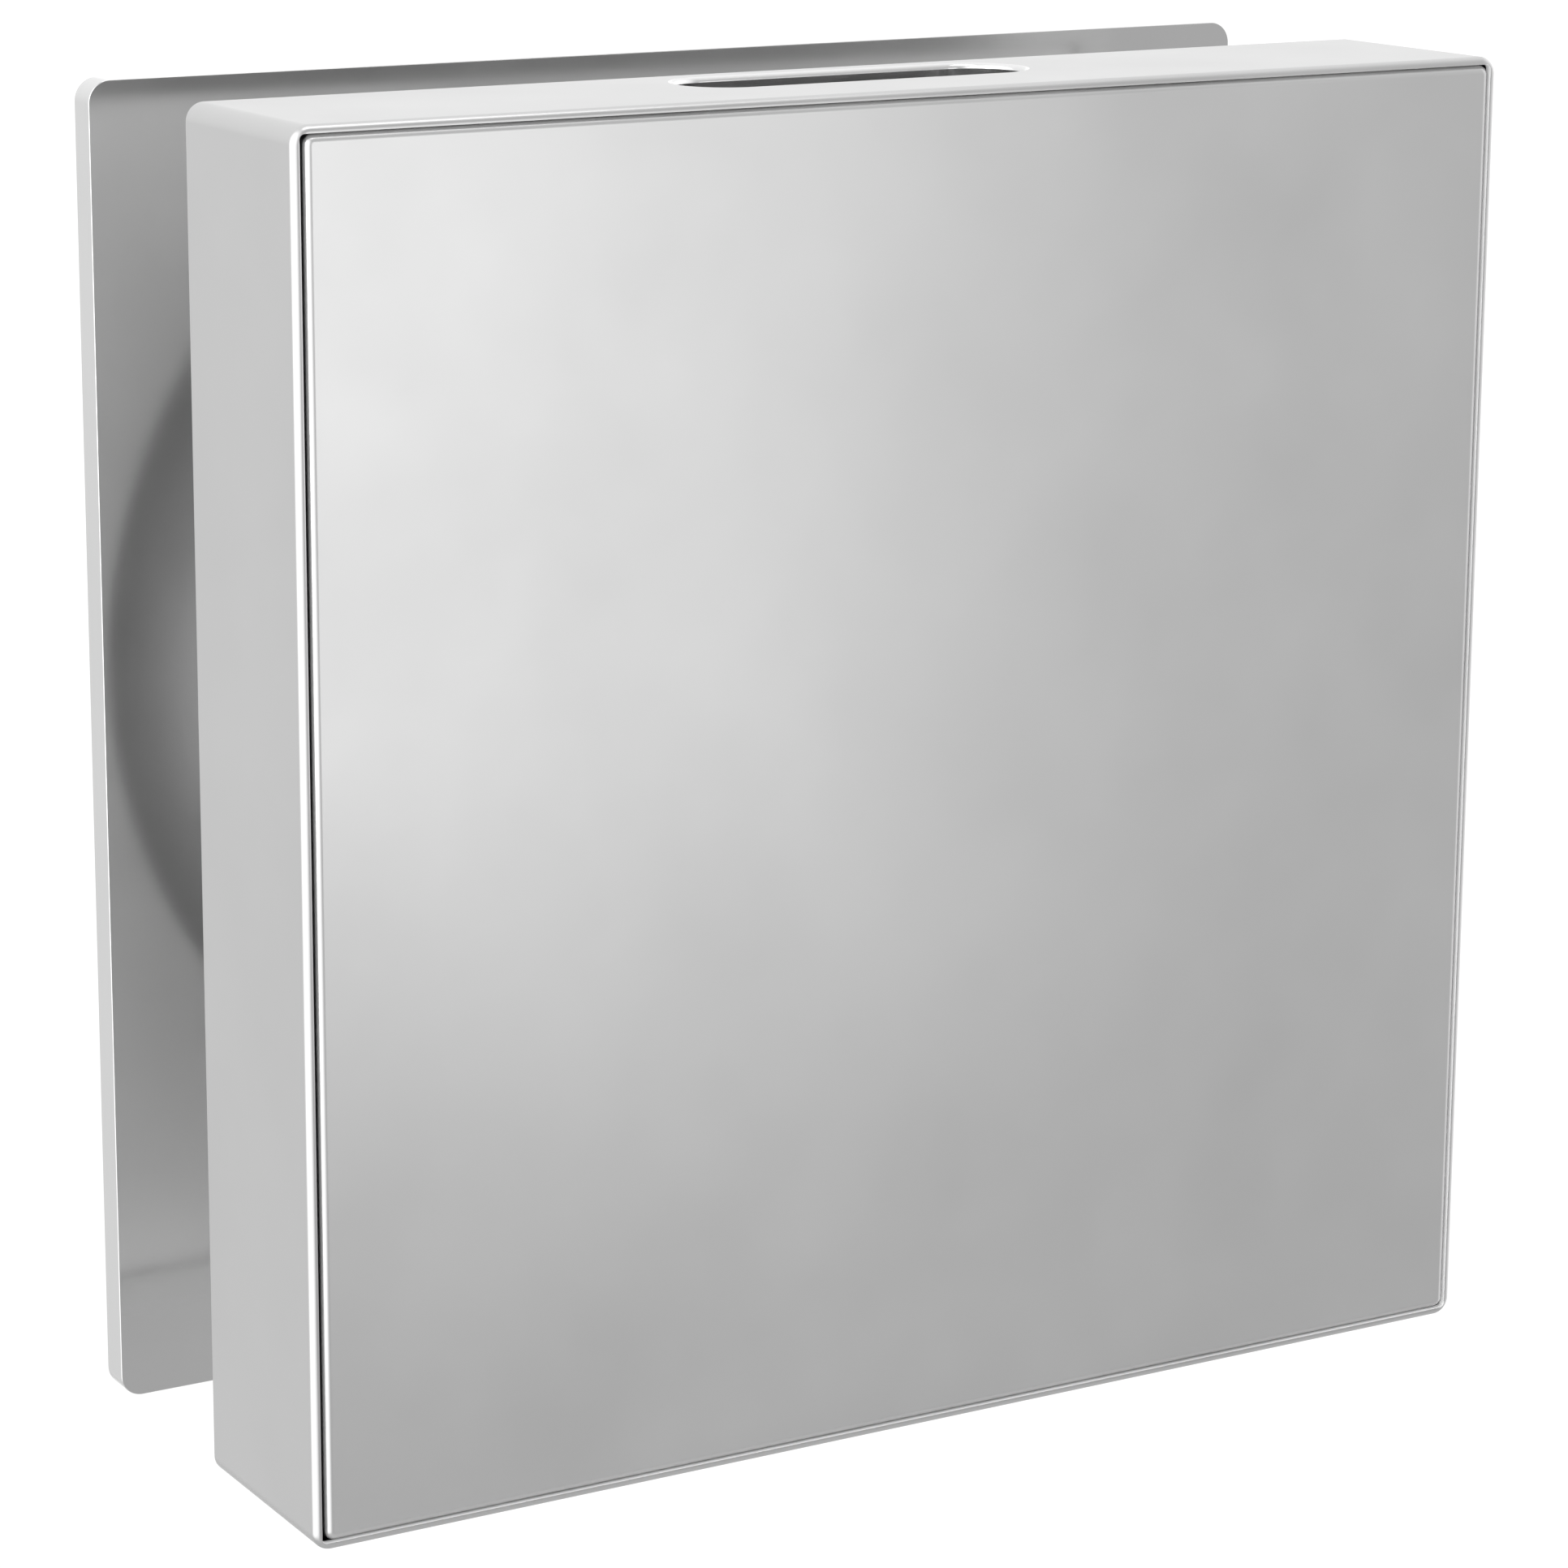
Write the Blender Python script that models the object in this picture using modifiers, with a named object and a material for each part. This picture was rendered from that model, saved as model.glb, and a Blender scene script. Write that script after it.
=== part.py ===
"""Square steel medicine cabinet on a round stand-off drum and a square wall plate.

Row frame, in metres: +Z up, +Y into the wall, -Y to the front. The origin is the
centre of the wall plate's back face, which lies on the wall.
"""

import math

import bmesh
import bpy
from mathutils import Matrix, Vector

# Overall sizes
WIDTH = 0.500
HEIGHT = 0.500
CABINET_DEPTH = 0.086
STAND_OFF = 0.086          # free space between the wall plate and the cabinet
PLATE_DEPTH = 0.013

# Sheet work
SHEET = 0.0015             # shell, back, wall plate and drum
DOOR_SHEET = 0.0012
CORNER_R = 0.0068          # outer corners of the shell, seen from the front
PLATE_CORNER_R = 0.0085    # outer corners of the wall plate
PLATE_EDGE_R = 0.0006
LIP = 0.0028               # width of the shell's front lip
LIP_R = 0.0027
OPENING_R = 0.0020         # corners of the opening the lip leaves for the door
REAR_FLANGE = 0.015
SEAT = 0.0003              # bedding gap between pieces that rest on each other

# Door
DOOR_FREE_GAP = 0.0017     # between the lip and the free edge, wide enough for a fingernail
DOOR_HINGE_GAP = 0.0005
DOOR_END_GAP = 0.0004
DOOR_DEPTH = 0.014
DOOR_CORNER_R = 0.0038
DOOR_EDGE_R = 0.0035
DOOR_FLANGE = 0.012
MIRROR_GLASS = 0.004
GASKET = 0.0012

# Top slot, with its drawn collar
SLOT_LENGTH = 0.1425
SLOT_WIDTH = 0.037
SLOT_CENTRE = 0.0576       # behind the front
SLOT_ROLL_R = 0.002
SLOT_COLLAR = 0.012

# Round stand-off drum
DRUM_R = 0.212
DRUM_RISE = 0.012          # its centre lies above the cabinet's
DRUM_FLANGE = 0.024
DRUM_SCREW_INSET = 0.012   # from the drum's outside to the screws in both flanges

# Hinge
HINGE_INSET = 0.014        # axis from the door's hinge edge
PIN_R = 0.0025
PIN_LENGTH = 0.010
RUNNING_GAP = 0.00008
PIN_PASSAGE = 0.0008       # free space round the pin where it enters the door
BRACKET = (0.026, 0.016, 0.0010)
BUSH = (0.016, 0.0095)      # across the door and along the pin

# Door stop and push latch
STOP_LEGS = (0.018, 0.010)  # across the front and along the side wall
STOP_SHEET = 0.0012
STOP_END_ROOM = 0.035      # above and below the stop angle
BUMPER_R = 0.004
BUMPER_DEPTH = 0.0027
BUMPER_HEIGHT = 0.190      # above and below the middle
LATCH_HEIGHT = 0.055       # above the middle, between two shelves
LATCH_BODY = (0.014, 0.036, 0.018)
LATCH_EAR = (0.003, 0.040)
LATCH_SCREW_OFFSET = 0.0145
PLUNGER_R = 0.004
PLUNGER_LENGTH = 0.030
STRIKE = (0.011, 0.0008, 0.030)

# Shelves
GLASS = 0.005
SHELF_CLEARANCE = 0.0010   # at each end
SHELF_SETBACK = 0.015      # behind the door, clear of its swing and of the stop angle
SHELF_BACK_GAP = 0.004     # clear of the screw heads
TISSUE_BAY = 0.122         # height of the bay under the top slot
TISSUE_SHELF_DEPTH = 0.012
STUD_R = 0.003
STUD_LENGTH = 0.010
STUD_HEAD_R = 0.0045
STUD_INSET = 0.010

# Screws
SCREW_R = 0.0025
SCREW_LENGTH = 0.012
HEAD_R = 0.00475
HEAD_HEIGHT = 0.0027
NUT_R = 0.0046
NUT_HEIGHT = 0.004
SMALL_SCREW = 0.6          # the latch screws against the drum screws
WALL_HOLE_R = 0.00325
WALL_HOLE_PLACE = (0.57, 0.47)  # of the drum's radius, across and up from its centre

# Places that follow from the sizes
PLATE_FRONT = -PLATE_DEPTH
CABINET_BACK = PLATE_FRONT - STAND_OFF
FRONT = CABINET_BACK - CABINET_DEPTH
DOOR_BACK = FRONT + DOOR_DEPTH
BACK_PANEL_REAR = CABINET_BACK - SHEET - SEAT
BACK_PANEL_FRONT = BACK_PANEL_REAR - SHEET
BOARD_FRONT = PLATE_FRONT + SHEET + SEAT
DOOR_LEFT = -WIDTH / 2 + LIP + DOOR_FREE_GAP
DOOR_RIGHT = WIDTH / 2 - LIP - DOOR_HINGE_GAP
DOOR_WIDTH = DOOR_RIGHT - DOOR_LEFT
DOOR_X = (DOOR_RIGHT + DOOR_LEFT) / 2
DOOR_HEIGHT = HEIGHT - 2 * (LIP + DOOR_END_GAP)
INNER_X = WIDTH / 2 - SHEET
INNER_Z = HEIGHT / 2 - SHEET
HINGE_X = DOOR_RIGHT - HINGE_INSET
HINGE_Y = FRONT + DOOR_DEPTH / 2
STOP_FRONT = DOOR_BACK + SEAT + BUMPER_DEPTH + SEAT
SHELF_FRONT = DOOR_BACK + SHELF_SETBACK
SHELF_BACK = BACK_PANEL_FRONT - SHELF_BACK_GAP
CATCH_X = DOOR_LEFT + DOOR_FLANGE / 2
DRUM_SCREW_R = DRUM_R - DRUM_SCREW_INSET
SCREW_HOLE_R = SCREW_R + SEAT

CORNER_STEPS = 6
EDGE_STEPS = 4
ROUND_STEPS = 16
DRUM_STEPS = 72
CUT_MARGIN = 0.002


def clear_scene():
    for obj in list(bpy.data.objects):
        bpy.data.objects.remove(obj)


def new_collection(name):
    collection = bpy.data.collections.new(name)
    bpy.context.scene.collection.children.link(collection)
    return collection


def make_material(name, colour, roughness, metallic):
    material = bpy.data.materials.new(name)
    material.use_nodes = True
    shader = material.node_tree.nodes["Principled BSDF"]
    shader.inputs["Base Color"].default_value = (*colour, 1.0)
    shader.inputs["Roughness"].default_value = roughness
    shader.inputs["Metallic"].default_value = metallic
    return material


clear_scene()
PARTS = new_collection("medicine_cabinet")
CUTTERS = new_collection("cutters")
MATERIALS = {
    "satin_steel": make_material("satin_steel", (0.62, 0.62, 0.62), 0.30, 1.0),
    "polished_steel": make_material("polished_steel", (0.68, 0.68, 0.68), 0.12, 1.0),
    "zinc_steel": make_material("zinc_steel", (0.55, 0.56, 0.58), 0.40, 1.0),
    "mirror_glass": make_material("mirror_glass", (0.90, 0.92, 0.92), 0.02, 1.0),
    "shelf_glass": make_material("shelf_glass", (0.80, 0.88, 0.86), 0.03, 0.0),
    "board": make_material("board", (0.20, 0.15, 0.11), 0.70, 0.0),
    "core_board": make_material("core_board", (0.78, 0.76, 0.70), 0.90, 0.0),
    "nylon": make_material("nylon", (0.75, 0.75, 0.72), 0.45, 0.0),
    "silicone": make_material("silicone", (0.70, 0.72, 0.72), 0.35, 0.0),
    "rubber": make_material("rubber", (0.03, 0.03, 0.03), 0.60, 0.0),
}


def add_part(name, mesh, material):
    """Links a mesh as the object of one sub-part."""
    obj = bpy.data.objects.new(name, mesh)
    if not mesh.materials:
        mesh.materials.append(MATERIALS[material])
    PARTS.objects.link(obj)
    return obj


def add_cutter(name, mesh):
    obj = bpy.data.objects.new(name, mesh)
    CUTTERS.objects.link(obj)
    obj.hide_render = True
    obj.display_type = "WIRE"
    return obj


def boolean(target, tool, operation="DIFFERENCE"):
    modifier = target.modifiers.new(tool.name, "BOOLEAN")
    modifier.operation = operation
    modifier.object = tool


def to_mesh_of(bm, name):
    mesh = bpy.data.meshes.new(name)
    bmesh.ops.recalc_face_normals(bm, faces=bm.faces)
    bm.to_mesh(mesh)
    bm.free()
    return mesh


def box_bmesh(low, high):
    """A cube primitive stretched to two corners."""
    low, high = Vector(low), Vector(high)
    bm = bmesh.new()
    bmesh.ops.create_cube(bm, size=1.0)
    bmesh.ops.scale(bm, vec=high - low, verts=bm.verts)
    bmesh.ops.translate(bm, vec=(high + low) / 2, verts=bm.verts)
    return bm


def edges_along(bm, axis):
    return [
        edge
        for edge in bm.edges
        if abs((edge.verts[1].co - edge.verts[0].co).normalized()[axis]) > 0.999
    ]


def face_towards(bm, axis, sign):
    return max(bm.faces, key=lambda face: sign * face.calc_center_median()[axis])


def block(name, low, high, material, axis=1, corner_r=0.0, steps=3):
    """A box whose four edges along one axis are rounded."""
    bm = box_bmesh(low, high)
    if corner_r:
        bmesh.ops.bevel(
            bm, geom=edges_along(bm, axis), offset=corner_r, segments=steps, profile=0.5, affect="EDGES"
        )
    return add_part(name, to_mesh_of(bm, name), material)


def rod_bmesh(radius, start, end, steps=ROUND_STEPS):
    """A cylinder primitive between two points."""
    start, end = Vector(start), Vector(end)
    bm = bmesh.new()
    bmesh.ops.create_cone(
        bm, cap_ends=True, segments=steps, radius1=radius, radius2=radius, depth=(end - start).length
    )
    turn = (end - start).to_track_quat("Z", "Y").to_matrix().to_4x4()
    bmesh.ops.transform(bm, matrix=Matrix.Translation((start + end) / 2) @ turn, verts=bm.verts)
    return bm


def drill(target, name, radius, start, end, steps=ROUND_STEPS):
    boolean(target, add_cutter(name, to_mesh_of(rod_bmesh(radius, start, end, steps), name)))


def window(target, size, depth_range, centre_x=0.0, corner_r=0.0):
    """Cuts a rectangular opening with round corners across the depth."""
    name = f"{target.name}_window_{len(target.modifiers)}"
    half_x, half_z = size[0] / 2, size[1] / 2
    bm = box_bmesh((centre_x - half_x, depth_range[0], -half_z), (centre_x + half_x, depth_range[1], half_z))
    if corner_r:
        bmesh.ops.bevel(
            bm, geom=edges_along(bm, 1), offset=corner_r, segments=EDGE_STEPS, profile=0.5, affect="EDGES"
        )
    boolean(target, add_cutter(name, to_mesh_of(bm, name)))


def folded_pan(
    name,
    size,
    depth_range,
    material,
    sheet,
    corner_r,
    edge_r,
    lip=None,
    flange=None,
    steps=EDGE_STEPS,
    centre_x=0.0,
):
    """A folded sheet box. Its front is closed, or has an inward lip; its back is open, or has a flange."""
    width, height = size
    y_front, y_back = depth_range
    left, right = centre_x - width / 2, centre_x + width / 2
    bm = box_bmesh((left, y_front, -height / 2), (right, y_back, height / 2))
    bmesh.ops.bevel(
        bm, geom=edges_along(bm, 1), offset=corner_r, segments=CORNER_STEPS, profile=0.5, affect="EDGES"
    )
    bm.normal_update()
    outline = list(face_towards(bm, 1, -1).edges)
    if not flange:
        bmesh.ops.delete(bm, geom=[face_towards(bm, 1, 1)], context="FACES_ONLY")
    bmesh.ops.bevel(bm, geom=outline, offset=edge_r, segments=steps, profile=0.5, affect="EDGES")
    mesh = bpy.data.meshes.new(name)
    bm.to_mesh(mesh)
    bm.free()
    pan = add_part(name, mesh, material)
    fold = pan.modifiers.new("sheet", "SOLIDIFY")
    fold.thickness = sheet
    fold.offset = -1.0
    fold.use_even_offset = True
    if flange:
        opening = (width - 2 * flange, height - 2 * flange)
        window(pan, opening, (y_back - sheet - CUT_MARGIN, y_back + CUT_MARGIN), centre_x)
    if lip:
        opening = (width - 2 * lip, height - 2 * lip)
        window(pan, opening, (y_front - CUT_MARGIN, y_front + sheet + CUT_MARGIN), centre_x, OPENING_R)
    return pan


def plate(name, size, depth_range, material, corner_r, steps=CORNER_STEPS, centre_x=0.0):
    """A flat plate across the depth with round corners."""
    width, height = size
    low = (centre_x - width / 2, depth_range[0], -height / 2)
    high = (centre_x + width / 2, depth_range[1], height / 2)
    return block(name, low, high, material, 1, corner_r, steps)


def turned_mesh(name, profile, steps):
    """The mesh of a profile of (radius, height) pairs, top to bottom, turned about Z."""
    mesh = bpy.data.meshes.new(name)
    mesh.from_pydata(
        [(radius, 0.0, height) for radius, height in profile],
        [(i, i + 1) for i in range(len(profile) - 1)],
        [],
    )
    holder = bpy.data.objects.new(name, mesh)
    PARTS.objects.link(holder)
    screw = holder.modifiers.new("turn", "SCREW")
    screw.steps = steps
    screw.render_steps = steps
    screw.use_merge_vertices = True
    screw.merge_threshold = 0.00001
    return holder


def shade_round(obj_or_mesh, limit=math.radians(40)):
    """Smooth faces with hard edges kept where the faces meet at more than the limit."""
    mesh = getattr(obj_or_mesh, "data", obj_or_mesh)
    bm = bmesh.new()
    bm.from_mesh(mesh)
    for face in bm.faces:
        face.smooth = True
    for edge in bm.edges:
        edge.smooth = len(edge.link_faces) == 2 and edge.calc_face_angle(0.0) < limit
    bm.to_mesh(mesh)
    bm.free()


def settle(obj):
    """The evaluated mesh of a built object, which is then removed."""
    bpy.context.view_layer.update()
    graph = bpy.context.evaluated_depsgraph_get()
    mesh = bpy.data.meshes.new_from_object(obj.evaluated_get(graph))
    bpy.data.objects.remove(obj)
    return mesh


def place(name, mesh, material, location, direction=(0, 0, 1), scale=1.0):
    """One copy of a turned mesh, its top pointing along direction."""
    if not mesh.materials:
        mesh.materials.append(MATERIALS[material])
        shade_round(mesh)
    obj = bpy.data.objects.new(name, mesh)
    PARTS.objects.link(obj)
    turn = Vector(direction).to_track_quat("Z", "Y").to_matrix().to_4x4()
    obj.matrix_world = Matrix.Translation(location) @ turn @ Matrix.Scale(scale, 4)
    return obj


def round_rect(half_x, half_y, radius, steps):
    """Points around a rectangle with round corners, anticlockwise."""
    points = []
    for corner in range(4):
        sign_x = 1 if corner in (0, 3) else -1
        sign_y = 1 if corner < 2 else -1
        centre = (sign_x * (half_x - radius), sign_y * (half_y - radius))
        for step in range(steps + 1):
            angle = math.pi / 2 * (corner + step / steps)
            points.append((centre[0] + radius * math.cos(angle), centre[1] + radius * math.sin(angle)))
    return points


def closed_curve(name, points):
    curve = bpy.data.curves.new(name, "CURVE")
    curve.dimensions = "2D"
    spline = curve.splines.new("POLY")
    spline.points.add(len(points) - 1)
    for point, place_2d in zip(spline.points, points):
        point.co = (*place_2d, 0.0, 1.0)
    spline.use_cyclic_u = True
    return curve


def slot_centre():
    return Vector((0.0, FRONT + SLOT_CENTRE, HEIGHT / 2))


def slot_outline(offset, steps=8):
    """Points around the slot, moved out by offset. A stadium has a doubled point between its end arcs."""
    half_x, half_y = SLOT_LENGTH / 2 + offset, SLOT_WIDTH / 2 + offset
    points = round_rect(half_x, half_y, half_y, steps)
    return [p for i, p in enumerate(points) if math.dist(p, points[i - 1]) > 1e-6]


def slot_collar():
    """The sheet rolled down round the slot: a section of sheet thickness swept round the stadium."""
    inner = SLOT_ROLL_R - DOOR_SHEET
    skin = 0.00002
    root = SLOT_ROLL_R + 0.0015
    arc = [math.pi / 2 * step / EDGE_STEPS for step in range(EDGE_STEPS + 1)]
    outer_arc = [(SLOT_ROLL_R * (1 - math.sin(a)), -skin - SLOT_ROLL_R * (1 - math.cos(a))) for a in arc]
    inner_arc = [(SLOT_ROLL_R - inner * math.sin(a), -skin - SLOT_ROLL_R + inner * math.cos(a)) for a in arc]
    section = [(root, -skin), *outer_arc, (0.0, -SLOT_COLLAR), (DOOR_SHEET, -SLOT_COLLAR)]
    section += [*reversed(inner_arc), (root, -skin - DOOR_SHEET)]
    section = [(-across, height) for across, height in section]
    profile = bpy.data.objects.new("collar_section", closed_curve("collar_section", section))
    profile.data.fill_mode = "NONE"
    CUTTERS.objects.link(profile)
    profile.hide_render = True
    profile.display_type = "WIRE"
    path = closed_curve("collar_path", slot_outline(0.0))
    path.fill_mode = "NONE"
    path.bevel_mode = "OBJECT"
    path.bevel_object = profile
    sweep = bpy.data.objects.new("collar_sweep", path)
    CUTTERS.objects.link(sweep)
    mesh = settle(sweep)
    bm = bmesh.new()
    bm.from_mesh(mesh)
    bmesh.ops.remove_doubles(bm, verts=bm.verts, dist=1e-6)
    collar = add_cutter("slot_collar", to_mesh_of(bm, "slot_collar"))
    collar.location = slot_centre()
    return collar


def slot_cutter():
    outline = closed_curve("slot_cutter", slot_outline(SLOT_ROLL_R + 0.0002))
    outline.fill_mode = "BOTH"
    outline.extrude = CUT_MARGIN
    holder = bpy.data.objects.new("slot_outline", outline)
    CUTTERS.objects.link(holder)
    bm = bmesh.new()
    bm.from_mesh(settle(holder))
    bmesh.ops.remove_doubles(bm, verts=bm.verts, dist=1e-6)
    cutter = add_cutter("slot_cutter", to_mesh_of(bm, "slot_cutter"))
    cutter.location = slot_centre()
    return cutter


def drum_points(count, first_angle):
    """Places (x, z) of the screws round the drum."""
    angles = [first_angle + 2 * math.pi * i / count for i in range(count)]
    return [(DRUM_SCREW_R * math.cos(a), DRUM_RISE + DRUM_SCREW_R * math.sin(a)) for a in angles]


REAR_SCREWS = drum_points(4, 0.0)
FRONT_SCREWS = drum_points(4, math.pi / 4)


def build_wall_plate():
    skin = folded_pan(
        "wall_plate_skin",
        (WIDTH, HEIGHT),
        (PLATE_FRONT, 0.0),
        "polished_steel",
        SHEET,
        PLATE_CORNER_R,
        PLATE_EDGE_R,
        steps=2,
    )
    inside = 2 * (SHEET + SEAT)
    board = plate(
        "wall_plate_board",
        (WIDTH - inside, HEIGHT - inside),
        (BOARD_FRONT, 0.0),
        "board",
        PLATE_CORNER_R - inside / 2,
    )
    blind = -0.002
    for i, (x, z) in enumerate(REAR_SCREWS, 1):
        for target in (skin, board):
            drill(
                target,
                f"{target.name}_hole_{i}",
                SCREW_HOLE_R,
                (x, PLATE_FRONT - CUT_MARGIN, z),
                (x, blind, z),
            )
    for i, (sign_x, sign_z) in enumerate(((-1, -1), (1, -1), (-1, 1), (1, 1)), 1):
        x = sign_x * WALL_HOLE_PLACE[0] * DRUM_R
        z = DRUM_RISE + sign_z * WALL_HOLE_PLACE[1] * DRUM_R
        for target in (skin, board):
            drill(
                target,
                f"{target.name}_wall_hole_{i}",
                WALL_HOLE_R,
                (x, PLATE_FRONT - CUT_MARGIN, z),
                (x, CUT_MARGIN, z),
            )


def build_drum():
    """A rolled ring with a flange turned in at each end, between the back panel and the wall plate."""
    front, back = BACK_PANEL_REAR + SEAT, PLATE_FRONT - SEAT
    flange_r = DRUM_R - DRUM_FLANGE
    wall_r = DRUM_R - SHEET
    length = back - front
    section = [
        (flange_r, length),
        (DRUM_R, length),
        (DRUM_R, 0.0),
        (flange_r, 0.0),
        (flange_r, SHEET),
        (wall_r, SHEET),
        (wall_r, length - SHEET),
        (flange_r, length - SHEET),
        (flange_r, length),
    ]
    drum = turned_mesh("standoff_drum", section, DRUM_STEPS)
    drum.data.materials.append(MATERIALS["satin_steel"])
    drum.matrix_world = Matrix.Translation((0.0, back, DRUM_RISE)) @ Matrix.Rotation(math.pi / 2, 4, "X")
    for end, screws, low in (("rear", REAR_SCREWS, back - SHEET), ("front", FRONT_SCREWS, front)):
        for i, (x, z) in enumerate(screws, 1):
            start, stop = (x, low - CUT_MARGIN, z), (x, low + SHEET + CUT_MARGIN, z)
            drill(drum, f"drum_{end}_hole_{i}", SCREW_HOLE_R, start, stop)


def screw_mesh():
    """A button-head screw with a hexagon socket, its head up and its seat at height 0."""
    dome = [math.pi / 2 * step / 3 for step in range(4)]
    profile = [(HEAD_R * math.sin(a), HEAD_HEIGHT * math.cos(a)) for a in dome]
    chamfer = 0.0005
    profile += [(SCREW_R, 0.0), (SCREW_R, -SCREW_LENGTH + chamfer), (SCREW_R - chamfer, -SCREW_LENGTH)]
    screw = turned_mesh("screw", [*profile, (0.0, -SCREW_LENGTH)], ROUND_STEPS)
    socket_r, socket_depth = 0.0017, 0.0016
    bm = rod_bmesh(socket_r, (0, 0, HEAD_HEIGHT - socket_depth), (0, 0, HEAD_HEIGHT + CUT_MARGIN), 6)
    boolean(screw, add_cutter("socket", to_mesh_of(bm, "socket")))
    return settle(screw)


def nut_mesh():
    """A hexagon nut, its seat at height 0 and its body below."""
    mesh = to_mesh_of(rod_bmesh(NUT_R, (0, 0, -NUT_HEIGHT), (0, 0, 0), 6), "nut")
    nut = bpy.data.objects.new("nut", mesh)
    PARTS.objects.link(nut)
    drill(nut, "nut_bore", SCREW_HOLE_R, (0, 0, -NUT_HEIGHT - CUT_MARGIN), (0, 0, CUT_MARGIN))
    return settle(nut)


def build_drum_fasteners(screw):
    rear_seat = PLATE_FRONT - SEAT - SHEET - SEAT
    for i, (x, z) in enumerate(REAR_SCREWS, 1):
        place(f"wall_plate_screw_{i}", screw, "zinc_steel", (x, rear_seat, z), (0, -1, 0))
    nut = nut_mesh()
    nut_seat = BACK_PANEL_REAR + SEAT + SHEET + SEAT
    for i, (x, z) in enumerate(FRONT_SCREWS, 1):
        place(f"cabinet_screw_{i}", screw, "zinc_steel", (x, BACK_PANEL_FRONT - SEAT, z), (0, -1, 0))
        place(f"cabinet_nut_{i}", nut, "zinc_steel", (x, nut_seat, z), (0, -1, 0))


def build_cabinet():
    shell = folded_pan(
        "cabinet_shell",
        (WIDTH, HEIGHT),
        (FRONT, CABINET_BACK),
        "satin_steel",
        SHEET,
        CORNER_R,
        LIP_R,
        lip=LIP,
        flange=REAR_FLANGE,
    )
    boolean(shell, slot_cutter())
    boolean(shell, slot_collar(), "UNION")
    inside = 2 * (SHEET + SEAT)
    back = plate(
        "cabinet_back",
        (WIDTH - inside, HEIGHT - inside),
        (BACK_PANEL_FRONT, BACK_PANEL_REAR),
        "satin_steel",
        CORNER_R - inside / 2,
    )
    for i, (x, z) in enumerate(FRONT_SCREWS, 1):
        drill(
            back,
            f"back_hole_{i}",
            SCREW_HOLE_R,
            (x, BACK_PANEL_FRONT - CUT_MARGIN, z),
            (x, BACK_PANEL_REAR + CUT_MARGIN, z),
        )


def shelf_heights():
    """Top faces of the two glass shelves, which share the room under the tissue bay equally."""
    top = INNER_Z - TISSUE_BAY - TISSUE_SHELF_DEPTH
    bay = (top + INNER_Z - 2 * GLASS) / 3
    return [top - bay, top - 2 * bay - GLASS]


def build_shelves():
    half = INNER_X - SEAT
    top = INNER_Z - TISSUE_BAY
    bm = box_bmesh((-half, SHELF_FRONT, top - TISSUE_SHELF_DEPTH), (half, SHELF_BACK, top))
    bmesh.ops.delete(bm, geom=[face_towards(bm, 2, -1)], context="FACES_ONLY")
    shelf = add_part("tissue_shelf", to_mesh_of(bm, "tissue_shelf"), "satin_steel")
    fold = shelf.modifiers.new("sheet", "SOLIDIFY")
    fold.thickness = DOOR_SHEET
    fold.offset = -1.0
    fold.use_even_offset = True
    half = INNER_X - SHELF_CLEARANCE
    stud = stud_mesh()
    for name, height in zip(("upper", "lower"), shelf_heights()):
        block(
            f"glass_shelf_{name}",
            (-half, SHELF_FRONT, height - GLASS),
            (half, SHELF_BACK, height),
            "shelf_glass",
            2,
            0.004,
        )
        under = height - GLASS - SEAT - STUD_HEAD_R
        places = [
            (side * (INNER_X - SEAT), y)
            for side in (-1, 1)
            for y in (SHELF_FRONT + STUD_INSET, SHELF_BACK - STUD_INSET)
        ]
        for i, (x, y) in enumerate(places, 1):
            place(f"{name}_shelf_stud_{i}", stud, "zinc_steel", (x, y, under), (-math.copysign(1, x), 0, 0))


def stud_mesh():
    """A weld stud with a round head that carries the glass, pointing up from its weld at height 0."""
    neck = STUD_LENGTH * 0.5
    edge = 0.0006
    profile = [
        (0.0, STUD_LENGTH),
        (STUD_HEAD_R - edge, STUD_LENGTH),
        (STUD_HEAD_R, STUD_LENGTH - edge),
        (STUD_HEAD_R, neck),
        (STUD_R, neck),
        (STUD_R, 0.0),
        (0.0, 0.0),
    ]
    return settle(turned_mesh("stud", profile, 16))


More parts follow.
